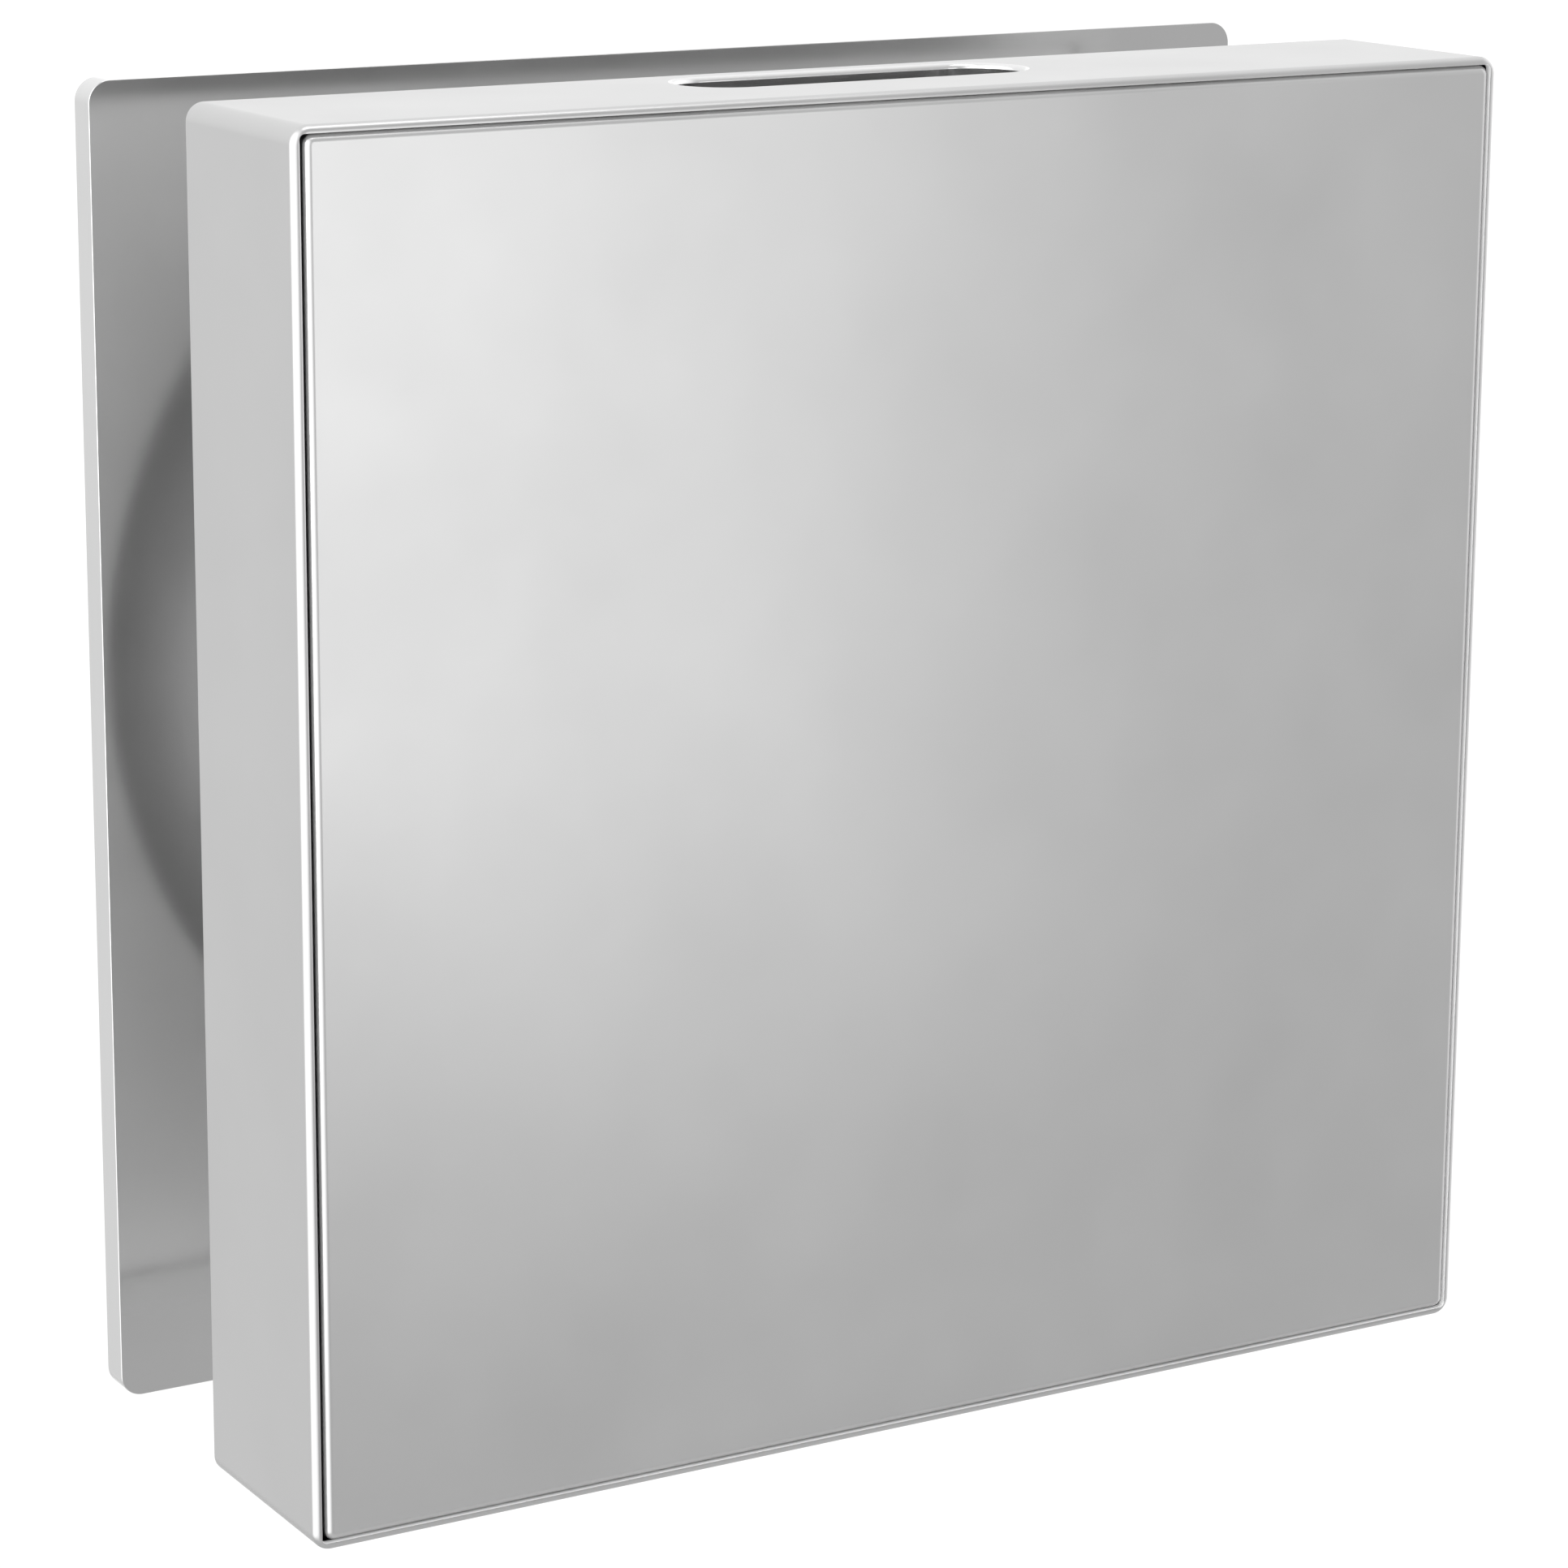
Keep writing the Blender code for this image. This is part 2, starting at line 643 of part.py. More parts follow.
def build_door():
    skin = folded_pan(
        "door_skin",
        (DOOR_WIDTH, DOOR_HEIGHT),
        (FRONT, DOOR_BACK),
        "polished_steel",
        DOOR_SHEET,
        DOOR_CORNER_R,
        DOOR_EDGE_R,
        flange=DOOR_FLANGE,
        centre_x=DOOR_X,
    )
    for name, sign in (("upper", 1), ("lower", -1)):
        z = sign * DOOR_HEIGHT / 2
        drill(
            skin,
            f"door_pin_hole_{name}",
            PIN_R + PIN_PASSAGE,
            (HINGE_X, HINGE_Y, z - sign * CUT_MARGIN),
            (HINGE_X, HINGE_Y, z + sign * CUT_MARGIN),
        )
    opening_w = DOOR_WIDTH - 2 * DOOR_FLANGE - 2 * SEAT
    opening_h = DOOR_HEIGHT - 2 * DOOR_FLANGE - 2 * SEAT
    glass_front = DOOR_BACK - MIRROR_GLASS
    depth_range = (glass_front, DOOR_BACK)
    gasket = plate(
        "mirror_gasket", (opening_w, opening_h), depth_range, "rubber", 0.001, 3, centre_x=DOOR_X
    )
    hole = (opening_w - 2 * GASKET, opening_h - 2 * GASKET)
    window(gasket, hole, (glass_front - CUT_MARGIN, DOOR_BACK + CUT_MARGIN), DOOR_X)
    mirror_size = (hole[0] - 2 * SEAT, hole[1] - 2 * SEAT)
    plate("inner_mirror", mirror_size, depth_range, "mirror_glass", 0.0015, 2, centre_x=DOOR_X)
    core_front, core_back = FRONT + DOOR_SHEET + SEAT, glass_front - SEAT
    core_right = HINGE_X - BUSH[0] / 2 - 2 * SEAT
    block(
        "door_core",
        (DOOR_LEFT + DOOR_FLANGE, core_front, -DOOR_HEIGHT / 2 + DOOR_FLANGE),
        (core_right, core_back, DOOR_HEIGHT / 2 - DOOR_FLANGE),
        "core_board",
    )
    block(
        "strike_plate",
        (CATCH_X - STRIKE[0] / 2, DOOR_BACK + SEAT, LATCH_HEIGHT - STRIKE[2] / 2),
        (CATCH_X + STRIKE[0] / 2, DOOR_BACK + SEAT + STRIKE[1], LATCH_HEIGHT + STRIKE[2] / 2),
        "zinc_steel",
        1,
        0.001,
        2,
    )


def build_hinges():
    """Each hinge is a bracket under the shell's wall, a pin in it, and a bush in the door's corner."""
    for name, sign in (("upper", 1), ("lower", -1)):
        wall = sign * (INNER_Z - SEAT)
        face = wall - sign * BRACKET[2]
        low_x = HINGE_X - BRACKET[0] * 0.65
        bracket = block(
            f"{name}_hinge_bracket",
            (low_x, HINGE_Y - BRACKET[1] * 0.25, min(wall, face)),
            (low_x + BRACKET[0], HINGE_Y + BRACKET[1] * 0.75, max(wall, face)),
            "zinc_steel",
            2,
            0.002,
        )
        drill(
            bracket,
            f"{name}_bracket_hole",
            PIN_R + SEAT,
            (HINGE_X, HINGE_Y, wall + sign * CUT_MARGIN),
            (HINGE_X, HINGE_Y, face - sign * CUT_MARGIN),
        )
        tip = face - sign * PIN_LENGTH
        chamfer = 0.0006
        height = abs(wall - tip)
        profile = [(0, 0), (PIN_R, 0), (PIN_R, -height + chamfer), (PIN_R - chamfer, -height), (0, -height)]
        pin = settle(turned_mesh(f"{name}_pin", profile, ROUND_STEPS))
        place(f"{name}_hinge_pin", pin, "zinc_steel", (HINGE_X, HINGE_Y, wall), (0, 0, sign))
        seat = sign * (DOOR_HEIGHT / 2 - DOOR_SHEET - SEAT)
        foot = seat - sign * BUSH[1]
        bush = block(
            f"{name}_hinge_bush",
            (HINGE_X - BUSH[0] / 2, FRONT + DOOR_EDGE_R - SEAT, min(seat, foot)),
            (HINGE_X + BUSH[0] / 2, DOOR_BACK - DOOR_SHEET - SEAT, max(seat, foot)),
            "nylon",
            2,
            0.0015,
            2,
        )
        drill(
            bush,
            f"{name}_bush_hole",
            PIN_R + RUNNING_GAP,
            (HINGE_X, HINGE_Y, seat + sign * CUT_MARGIN),
            (HINGE_X, HINGE_Y, foot - sign * CUT_MARGIN),
        )


def build_stop_angle():
    """An angle along the free side, which carries two bumpers and the push latch."""
    wall = -INNER_X + SEAT
    half = HEIGHT / 2 - STOP_END_ROOM
    bm = box_bmesh(
        (wall, STOP_FRONT, -half), (wall + STOP_LEGS[0], STOP_FRONT + STOP_LEGS[1], half)
    )
    open_sides = [face_towards(bm, axis, sign) for axis, sign in ((0, 1), (1, 1), (2, 1), (2, -1))]
    bmesh.ops.delete(bm, geom=open_sides, context="FACES_ONLY")
    mesh = bpy.data.meshes.new("door_stop_angle")
    bm.to_mesh(mesh)
    bm.free()
    angle = add_part("door_stop_angle", mesh, "zinc_steel")
    fold = angle.modifiers.new("sheet", "SOLIDIFY")
    fold.thickness = STOP_SHEET
    fold.offset = -1.0
    fold.use_even_offset = True
    drill(
        angle,
        "plunger_hole",
        PLUNGER_R + SEAT,
        (CATCH_X, STOP_FRONT - CUT_MARGIN, LATCH_HEIGHT),
        (CATCH_X, STOP_FRONT + STOP_SHEET + CUT_MARGIN, LATCH_HEIGHT),
    )
    profile = [
        (0, 0),
        (BUMPER_R * 0.6, 0),
        (BUMPER_R, -BUMPER_DEPTH * 0.5),
        (BUMPER_R, -BUMPER_DEPTH),
        (0, -BUMPER_DEPTH),
    ]
    bumper = settle(turned_mesh("bumper", profile, ROUND_STEPS))
    for name, sign in (("upper", 1), ("lower", -1)):
        location = (CATCH_X, DOOR_BACK + SEAT, sign * BUMPER_HEIGHT)
        place(f"{name}_bumper", bumper, "silicone", location, (0, -1, 0))
    return angle


def build_latch(angle, screw):
    """The push latch behind the stop angle, held by two screws through its ears."""
    front = STOP_FRONT + STOP_SHEET + SEAT
    back = front + LATCH_BODY[1]
    ear_back, ear = front + LATCH_EAR[0], LATCH_EAR[1] / 2
    half = LATCH_BODY[2] / 2
    outline = [(front, -ear), (ear_back, -ear), (ear_back, -half), (back, -half)]
    outline += [(y, -z) for y, z in reversed(outline)]
    curve = closed_curve("latch_outline", outline)
    curve.fill_mode = "BOTH"
    curve.extrude = LATCH_BODY[0] / 2
    holder = bpy.data.objects.new("latch_outline", curve)
    CUTTERS.objects.link(holder)
    bm = bmesh.new()
    bm.from_mesh(settle(holder))
    bmesh.ops.remove_doubles(bm, verts=bm.verts, dist=1e-6)
    stand = Matrix(((0, 0, 1, CATCH_X), (1, 0, 0, 0), (0, 1, 0, LATCH_HEIGHT), (0, 0, 0, 1)))
    bmesh.ops.transform(bm, matrix=stand, verts=bm.verts)
    body = add_part("latch_housing", to_mesh_of(bm, "latch_housing"), "nylon")
    bore_end = back - 0.003
    drill(
        body,
        "latch_bore",
        PLUNGER_R + RUNNING_GAP,
        (CATCH_X, front - CUT_MARGIN, LATCH_HEIGHT),
        (CATCH_X, bore_end, LATCH_HEIGHT),
    )
    hole_r = SCREW_HOLE_R * SMALL_SCREW + SEAT / 2
    for i, sign in enumerate((1, -1), 1):
        z = LATCH_HEIGHT + sign * LATCH_SCREW_OFFSET
        for target in (angle, body):
            start, end = (CATCH_X, STOP_FRONT - CUT_MARGIN, z), (CATCH_X, ear_back + CUT_MARGIN, z)
            drill(target, f"{target.name}_screw_hole_{i}", hole_r, start, end)
        seat = (CATCH_X, STOP_FRONT - SEAT, z)
        place(f"latch_screw_{i}", screw, "zinc_steel", seat, (0, -1, 0), SMALL_SCREW)

    edge = 0.0006
    profile = [
        (0, 0),
        (PLUNGER_R - edge, 0),
        (PLUNGER_R, -edge),
        (PLUNGER_R, -PLUNGER_LENGTH + edge),
        (PLUNGER_R - edge, -PLUNGER_LENGTH),
        (0, -PLUNGER_LENGTH),
    ]
    plunger = settle(turned_mesh("plunger", profile, ROUND_STEPS))
    plunger_front = DOOR_BACK + SEAT + STRIKE[1] + SEAT
    place("latch_plunger", plunger, "nylon", (CATCH_X, plunger_front, LATCH_HEIGHT), (0, -1, 0))


def hang_door():
    """Parents the door's pieces to an empty on the hinge axis, so turning it opens the door."""
    axis = bpy.data.objects.new("door_hinge_axis", None)
    PARTS.objects.link(axis)
    axis.location = (HINGE_X, HINGE_Y, 0.0)
    pieces = ["door_skin", "door_core", "inner_mirror", "mirror_gasket", "strike_plate"]
    pieces += ["upper_hinge_bush", "lower_hinge_bush"]
    for name in pieces:
        piece = bpy.data.objects[name]
        piece.parent = axis
        piece.matrix_parent_inverse = Matrix.Translation(-axis.location)
        for modifier in piece.modifiers:
            if modifier.type == "BOOLEAN":
                modifier.object.parent = axis
                modifier.object.matrix_parent_inverse = Matrix.Translation(-axis.location)


build_wall_plate()
build_drum()
SCREW = screw_mesh()
build_drum_fasteners(SCREW)
build_cabinet()
build_shelves()
build_door()
build_hinges()
build_latch(build_stop_angle(), SCREW)
hang_door()
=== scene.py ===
"""Looks of a square stainless medicine cabinet held off the wall by a round drum.

Row frame, in metres: +Z up, +Y into the wall, -Y to the front, +X to the right. Places
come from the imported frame; sheet thicknesses and fold radii are the sheet worker's.
"""
import logging
import math
from abc import ABC, abstractmethod
from collections.abc import Iterable, Sequence
from dataclasses import dataclass
from enum import Enum
from typing import Any

import bmesh
import bpy
from mathutils import Matrix, Vector


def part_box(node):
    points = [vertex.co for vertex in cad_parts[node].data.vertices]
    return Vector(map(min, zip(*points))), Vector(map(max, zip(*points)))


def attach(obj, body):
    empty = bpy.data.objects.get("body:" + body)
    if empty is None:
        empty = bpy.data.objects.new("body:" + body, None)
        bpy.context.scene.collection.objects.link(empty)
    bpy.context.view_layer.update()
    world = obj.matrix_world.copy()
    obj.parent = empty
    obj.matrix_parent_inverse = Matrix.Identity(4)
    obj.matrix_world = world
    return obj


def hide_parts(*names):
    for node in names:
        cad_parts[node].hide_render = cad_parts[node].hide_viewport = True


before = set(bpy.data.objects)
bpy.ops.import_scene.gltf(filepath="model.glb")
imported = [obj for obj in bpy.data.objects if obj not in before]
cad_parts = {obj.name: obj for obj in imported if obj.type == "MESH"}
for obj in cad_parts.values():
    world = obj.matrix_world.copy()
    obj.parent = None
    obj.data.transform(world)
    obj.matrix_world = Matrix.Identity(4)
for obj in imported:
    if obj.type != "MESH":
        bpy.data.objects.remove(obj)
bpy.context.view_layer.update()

LOG = logging.getLogger("medicine_cabinet")
MM = 0.001

Point = tuple[float, float]
Place = tuple[float, float, float]
Tree = bpy.types.NodeTree
Socket = bpy.types.NodeSocket


class Body(Enum):
    """The rigid bodies that pieces ride on."""

    CABINET = "cabinet"
    DOOR = "door"
    PLUNGER = "latch_plunger"


class Axis(Enum):
    """Row axes, by index."""

    X = 0
    Y = 1
    Z = 2


# ---------------------------------------------------------------- finishes


def linear(hex_colour: str) -> tuple[float, float, float, float]:
    """Turns an sRGB colour into Blender's linear one.

    Args:
        hex_colour: Six hexadecimal digits, such as "c8cacc".

    Returns:
        Linear red, green, blue and an alpha of 1.
    """
    channels = [int(hex_colour[i : i + 2], 16) / 255 for i in (0, 2, 4)]
    straight = [c / 12.92 if c <= 0.04045 else ((c + 0.055) / 1.055) ** 2.4 for c in channels]
    return (straight[0], straight[1], straight[2], 1.0)


def add_node(
    tree: Tree,
    kind: str,
    settings: dict[Any, Any] | None = None,
    links: dict[Any, Socket] | None = None,
) -> bpy.types.Node:
    """Adds a shader node.

    Args:
        tree: The node tree to add to.
        kind: The node's type, such as "ShaderNodeTexNoise".
        settings: Properties by name, or input values by socket name or index.
        links: Output sockets by the name or index of the input they feed.

    Returns:
        The new node.
    """
    node = tree.nodes.new(kind)
    for key, value in (settings or {}).items():
        if isinstance(key, str) and hasattr(node, key):
            setattr(node, key, value)
        else:
            node.inputs[key].default_value = value
    for key, source in (links or {}).items():
        tree.links.new(source, node.inputs[key])
    return node


def per_metre(size_mm: float) -> float:
    """Noise scale, in cells to the metre, of a pattern whose cells are size_mm wide."""
    return 1000.0 / size_mm


@dataclass(frozen=True)
class Finish(ABC):
    """A real material and how its surface was made.

    Attributes:
        name: The material's name in the scene.
        slot: The record's material slot that it belongs to; not used.
    """

    name: str
    slot: str

    def material(self) -> bpy.types.Material:
        """The Blender material, built once."""
        found = bpy.data.materials.get(self.name)
        if found is not None:
            return found
        made = bpy.data.materials.new(self.name)
        made.use_nodes = True
        tree = made.node_tree
        tree.nodes.clear()
        shader = add_node(tree, "ShaderNodeBsdfPrincipled")
        add_node(tree, "ShaderNodeOutputMaterial", links={"Surface": shader.outputs["BSDF"]})
        place = add_node(tree, "ShaderNodeTexCoord").outputs["Object"]
        self.dress(tree, shader, place)
        return made

    @abstractmethod
    def dress(self, tree: Tree, shader: bpy.types.Node, place: Socket) -> None:
        """Sets the shader and feeds it.

        Args:
            tree: The material's node tree.
            shader: Its Principled shader.
            place: Coordinates in metres in the row frame.
        """


def varied(
    tree: Tree, place: Socket, size_mm: float, low: float, high: float, detail: float = 3.0
) -> Socket:
    """A number that wanders over the surface.

    Args:
        tree: The node tree.
        place: Coordinates to vary over.
        size_mm: Width of the pattern's patches.
        low: Smallest value.
        high: Largest value.
        detail: Octaves of finer noise.

    Returns:
        The wandering number.
    """
    noise = add_node(
        tree, "ShaderNodeTexNoise", {"Scale": per_metre(size_mm), "Detail": detail}, {"Vector": place}
    )
    spread = add_node(
        tree,
        "ShaderNodeMapRange",
        {"From Min": 0.3, "From Max": 0.7, "To Min": low, "To Max": high},
        {"Value": noise.outputs["Fac"]},
    )
    return spread.outputs["Result"]


def toned(tree: Tree, factor: Socket, first: str, second: str) -> Socket:
    """A colour between two tones.

    Args:
        tree: The node tree.
        factor: 0 for the first tone, 1 for the second.
        first: Hex colour.
        second: Hex colour.

    Returns:
        The mixed colour.
    """
    mix = add_node(
        tree,
        "ShaderNodeMix",
        {"data_type": "RGBA", 6: linear(first), 7: linear(second)},
        {0: factor},
    )
    return mix.outputs[2]


def ramp_of(tree: Tree, factor: Socket, stops: Sequence[Point]) -> Socket:
    """A value that runs in straight steps through given stops.

    Args:
        tree: The node tree.
        factor: Where on the ramp, 0 to 1.
        stops: Pairs of (place, value) in rising order, values from 0 to 1.

    Returns:
        The value.
    """
    ramp = add_node(tree, "ShaderNodeValToRGB", links={"Fac": factor})
    held = ramp.color_ramp.elements
    while len(held) < len(stops):
        held.new(0.5)
    for stop, (place, value) in zip(held, stops):
        stop.position = place
        stop.color = (value, value, value, 1.0)
    return ramp.outputs["Color"]


def relief(tree: Tree, height: Socket, depth_mm: float, strength: float) -> Socket:
    """A bumped normal.

    Args:
        tree: The node tree.
        height: Height from 0 to 1.
        depth_mm: How deep a height of 1 stands.
        strength: How much of it shows, 0 to 1.

    Returns:
        The normal.
    """
    bump = add_node(
        tree, "ShaderNodeBump", {"Strength": strength, "Distance": depth_mm * MM}, {"Height": height}
    )
    return bump.outputs["Normal"]


@dataclass(frozen=True)
class StainlessSheet(Finish):
    """Grade 304 stainless sheet, ground and then polished.

    The grinding leaves a grain of 0.05 mm, too fine to show, so it is drawn 0.6 mm wide
    and very shallow. Hands leave broad cloudy patches of slightly duller metal.

    Attributes:
        light: Tone of the brighter patches.
        dark: Tone of the duller patches.
        roughness: Mean roughness; polished sheet is 0.1 to 0.3, satin and rolled 0.3 to
            0.4, pickled or blasted 0.7 to 0.95.
        cloud: How far the roughness wanders.
        grain: Strength of the grain.
    """

    light: str = "cacaca"
    dark: str = "c5c5c5"
    roughness: float = 0.3
    cloud: float = 0.02
    grain: float = 0.05

    def dress(self, tree: Tree, shader: bpy.types.Node, place: Socket) -> None:
        """Feeds the metal's tone, roughness and grain."""
        shader.inputs["Metallic"].default_value = 1.0
        patches = varied(tree, place, 90.0, 0.0, 1.0)
        tree.links.new(toned(tree, patches, self.light, self.dark), shader.inputs["Base Color"])
        low, high = self.roughness - self.cloud, self.roughness + self.cloud
        tree.links.new(varied(tree, place, 60.0, low, high, 5.0), shader.inputs["Roughness"])
        along = add_node(
            tree, "ShaderNodeMapping", {"Scale": (0.01, 1.0, 1.0)}, {"Vector": place}
        ).outputs["Vector"]
        grain = add_node(
            tree, "ShaderNodeTexNoise", {"Scale": per_metre(0.6), "Detail": 2.0}, {"Vector": along}
        )
        tree.links.new(relief(tree, grain.outputs["Fac"], 0.002, self.grain), shader.inputs["Normal"])


@dataclass(frozen=True)
class ZincPlate(Finish):
    """Bright zinc plate on small steel fittings.

    Zinc crystals of about 1.5 mm give a faint mosaic of tones, and the plate is less
    smooth than the sheet.
    """

    def dress(self, tree: Tree, shader: bpy.types.Node, place: Socket) -> None:
        """Feeds the crystals' tones and roughness."""
        shader.inputs["Metallic"].default_value = 1.0
        crystals = add_node(
            tree, "ShaderNodeTexVoronoi", {"Scale": per_metre(1.5)}, {"Vector": place}
        ).outputs["Color"]
        grey = add_node(tree, "ShaderNodeRGBToBW", links={"Color": crystals}).outputs["Val"]
        tree.links.new(toned(tree, grey, "b4b8bc", "c6cacd"), shader.inputs["Base Color"])
        rough = add_node(
            tree, "ShaderNodeMapRange", {"To Min": 0.26, "To Max": 0.36}, {"Value": grey}
        )
        tree.links.new(rough.outputs["Result"], shader.inputs["Roughness"])


@dataclass(frozen=True)
class SilveredGlass(Finish):
    """Float glass silvered on its back: a clear image with a trace of green.

    Dried droplets and wiping leave patches of 30 mm that are hardly rougher.
    """

    def dress(self, tree: Tree, shader: bpy.types.Node, place: Socket) -> None:
        """Feeds the mirror's tint and wiped patches."""
        shader.inputs["Metallic"].default_value = 1.0
        wiped = varied(tree, place, 30.0, 0.0, 1.0)
        tree.links.new(toned(tree, wiped, "eef3f1", "e9f0ee"), shader.inputs["Base Color"])
        tree.links.new(varied(tree, place, 30.0, 0.01, 0.03), shader.inputs["Roughness"])


@dataclass(frozen=True)
class ClearGlass(Finish):
    """Toughened clear float glass, green where it is seen through its edge."""

    def dress(self, tree: Tree, shader: bpy.types.Node, place: Socket) -> None:
        """Feeds the glass's tint and faint wiping marks."""
        shader.inputs["Transmission Weight"].default_value = 1.0
        shader.inputs["IOR"].default_value = 1.52
        wiped = varied(tree, place, 25.0, 0.0, 1.0)
        tree.links.new(toned(tree, wiped, "e6f3ee", "e0efe9"), shader.inputs["Base Color"])
        tree.links.new(varied(tree, place, 25.0, 0.0, 0.03), shader.inputs["Roughness"])


@dataclass(frozen=True)
class PressedFibreboard(Finish):
    """Hard fibreboard: brown fibres of about 2 mm, matted at random."""

    def dress(self, tree: Tree, shader: bpy.types.Node, place: Socket) -> None:
        """Feeds the fibres' tones and relief."""
        fibres = add_node(
            tree,
            "ShaderNodeTexNoise",
            {"Scale": per_metre(2.0), "Detail": 6.0, "Distortion": 1.5},
            {"Vector": place},
        ).outputs["Fac"]
        tree.links.new(toned(tree, fibres, "5b4631", "8d7354"), shader.inputs["Base Color"])
        tree.links.new(varied(tree, place, 6.0, 0.62, 0.8), shader.inputs["Roughness"])
        tree.links.new(relief(tree, fibres, 0.2, 0.5), shader.inputs["Normal"])


@dataclass(frozen=True)
class FoamBoard(Finish):
    """Rigid foam board: pale, with closed cells of 0.8 mm cut open."""

    def dress(self, tree: Tree, shader: bpy.types.Node, place: Socket) -> None:
        """Feeds the cells' tone and relief."""
        cells = add_node(
            tree, "ShaderNodeTexVoronoi", {"Scale": per_metre(0.8)}, {"Vector": place}
        ).outputs["Distance"]
        tree.links.new(toned(tree, cells, "b9b3a2", "e2ddcf"), shader.inputs["Base Color"])
        tree.links.new(varied(tree, place, 5.0, 0.8, 0.95), shader.inputs["Roughness"])
        tree.links.new(relief(tree, cells, 0.2, 0.6), shader.inputs["Normal"])


@dataclass(frozen=True)
class Moulding(Finish):
    """A moulded plastic or rubber with the fine texture of its tool.

    Attributes:
        light: Lighter tone.
        dark: Darker tone.
        roughness: Mean roughness.
        ior: Index of refraction: nylon 1.53, silicone 1.41, rubber 1.52.
        texture_mm: Width of the tool's texture.
        clear: Share of light that passes through.
    """

    light: str = "dcdad2"
    dark: str = "d0cec5"
    roughness: float = 0.42
    ior: float = 1.53
    texture_mm: float = 0.5
    clear: float = 0.0

    def dress(self, tree: Tree, shader: bpy.types.Node, place: Socket) -> None:
        """Feeds the moulding's tone, roughness and tool texture."""
        shader.inputs["IOR"].default_value = self.ior
        shader.inputs["Transmission Weight"].default_value = self.clear
        flow = varied(tree, place, 8.0, 0.0, 1.0)
        tree.links.new(toned(tree, flow, self.light, self.dark), shader.inputs["Base Color"])
        low, high = self.roughness - 0.05, self.roughness + 0.05
        tree.links.new(varied(tree, place, 4.0, low, high), shader.inputs["Roughness"])
        grain = varied(tree, place, self.texture_mm, 0.0, 1.0)
        tree.links.new(relief(tree, grain, 0.02, 0.4), shader.inputs["Normal"])


@dataclass(frozen=True)
class StudioPaint(Finish):
    """Matt pale paint on the studio's floor, which fades out into the bright surround.

    Attributes:
        full_to: Radius of solid paint, in metres.
        gone_at: Radius where it has faded out, in metres.
    """

    full_to: float = 0.9
    gone_at: float = 1.7

    def dress(self, tree: Tree, shader: bpy.types.Node, place: Socket) -> None:
        """Feeds the paint's roller texture and its fading edge."""
        roller = varied(tree, place, 12.0, 0.0, 1.0)
        tree.links.new(toned(tree, roller, "bcbcbc", "c0c0c0"), shader.inputs["Base Color"])
        tree.links.new(varied(tree, place, 40.0, 0.85, 0.95), shader.inputs["Roughness"])
        reach = add_node(tree, "ShaderNodeVectorMath", {"operation": "LENGTH"}, {0: place})
        fade = add_node(
            tree,
            "ShaderNodeMapRange",
            {
                "interpolation_type": "SMOOTHSTEP",
                "From Min": self.full_to,
                "From Max": self.gone_at,
                "To Min": 1.0,
                "To Max": 0.0,
            },
            {"Value": reach.outputs["Value"]},
        )
        tree.links.new(fade.outputs["Result"], shader.inputs["Alpha"])


SATIN_STEEL = StainlessSheet("satin_stainless_sheet", "satin_steel", "c2c2c2", "bebebe")
PICKLED_STEEL = StainlessSheet(
    "pickled_stainless_sheet", "satin_steel", "f0f0f0", "ebebeb", roughness=0.78, cloud=0.05
)
# Painted shade: the drum's stainless is toned far darker than the other sheet, standing in for the shade
# in the deep gap between the wall plate and the cabinet.
DULL_STEEL = StainlessSheet(
    "rolled_stainless_drum", "satin_steel", "8c8c8c", "868686", roughness=0.4, cloud=0.05
)
POLISHED_COLLAR = StainlessSheet(
    "polished_stainless_collar", "satin_steel", "dedede", "d8d8d8", roughness=0.15, cloud=0.02
)
POLISHED_DOOR = StainlessSheet(
    "polished_stainless_door", "polished_steel", roughness=0.30, cloud=0.015, grain=0.03
)
POLISHED_PLATE = StainlessSheet(
    "polished_stainless_plate",
    "polished_steel",
    "d6d6d6",
    "d2d2d2",
    roughness=0.13,
    cloud=0.015,
    grain=0.03,
)
BLASTED_HEM = StainlessSheet(
    "bead_blasted_hem", "satin_steel", "f6f6f6", "f0f0f0", roughness=0.95, cloud=0.03, grain=0.02
)
ZINC = ZincPlate("bright_zinc_plate", "zinc_steel")
SILVERED = SilveredGlass("silvered_float_glass", "mirror_glass")
GLASS = ClearGlass("toughened_float_glass", "shelf_glass")
FIBREBOARD = PressedFibreboard("hard_fibreboard", "board")
FOAM = FoamBoard("rigid_foam_board", "core_board")
NYLON = Moulding("moulded_nylon", "nylon")
SILICONE = Moulding(
    "clear_silicone", "silicone", "dfe3e3", "d3d9d9", roughness=0.35, ior=1.41, clear=0.6
)
RUBBER = Moulding(
    "gasket_rubber", "rubber", "2b2b2b", "1e1e1e", roughness=0.6, ior=1.52, texture_mm=0.3
)


# ---------------------------------------------------------------- mesh tools


def object_from(bm: bmesh.types.BMesh, name: str) -> bpy.types.Object:
    """Turns a bmesh into an object in the scene and frees it."""
    mesh = bpy.data.meshes.new(name)
    bm.to_mesh(mesh)
    bm.free()
    made = bpy.data.objects.new(name, mesh)
    bpy.context.scene.collection.objects.link(made)
    return made


def settled(obj: bpy.types.Object) -> bpy.types.Object:
    """Applies an object's modifiers to its mesh."""
    bpy.context.view_layer.update()
    graph = bpy.context.evaluated_depsgraph_get()
    mesh = bpy.data.meshes.new_from_object(obj.evaluated_get(graph))
    obj.modifiers.clear()
    obj.data = mesh
    return obj


def smoothed(obj: bpy.types.Object, sharp_deg: float = 32.0) -> bpy.types.Object:
    """Shades a piece smooth but for its real edges, and keeps its flats flat.

    Args:
        obj: The piece.
        sharp_deg: Edges that turn more than this stay sharp.

    Returns:
        The piece.
    """
    obj.data.shade_smooth()
    obj.data.set_sharp_from_angle(angle=math.radians(sharp_deg))
    even = obj.modifiers.new("flats", "WEIGHTED_NORMAL")
    even.keep_sharp = True
    even.weight = 100
    return obj


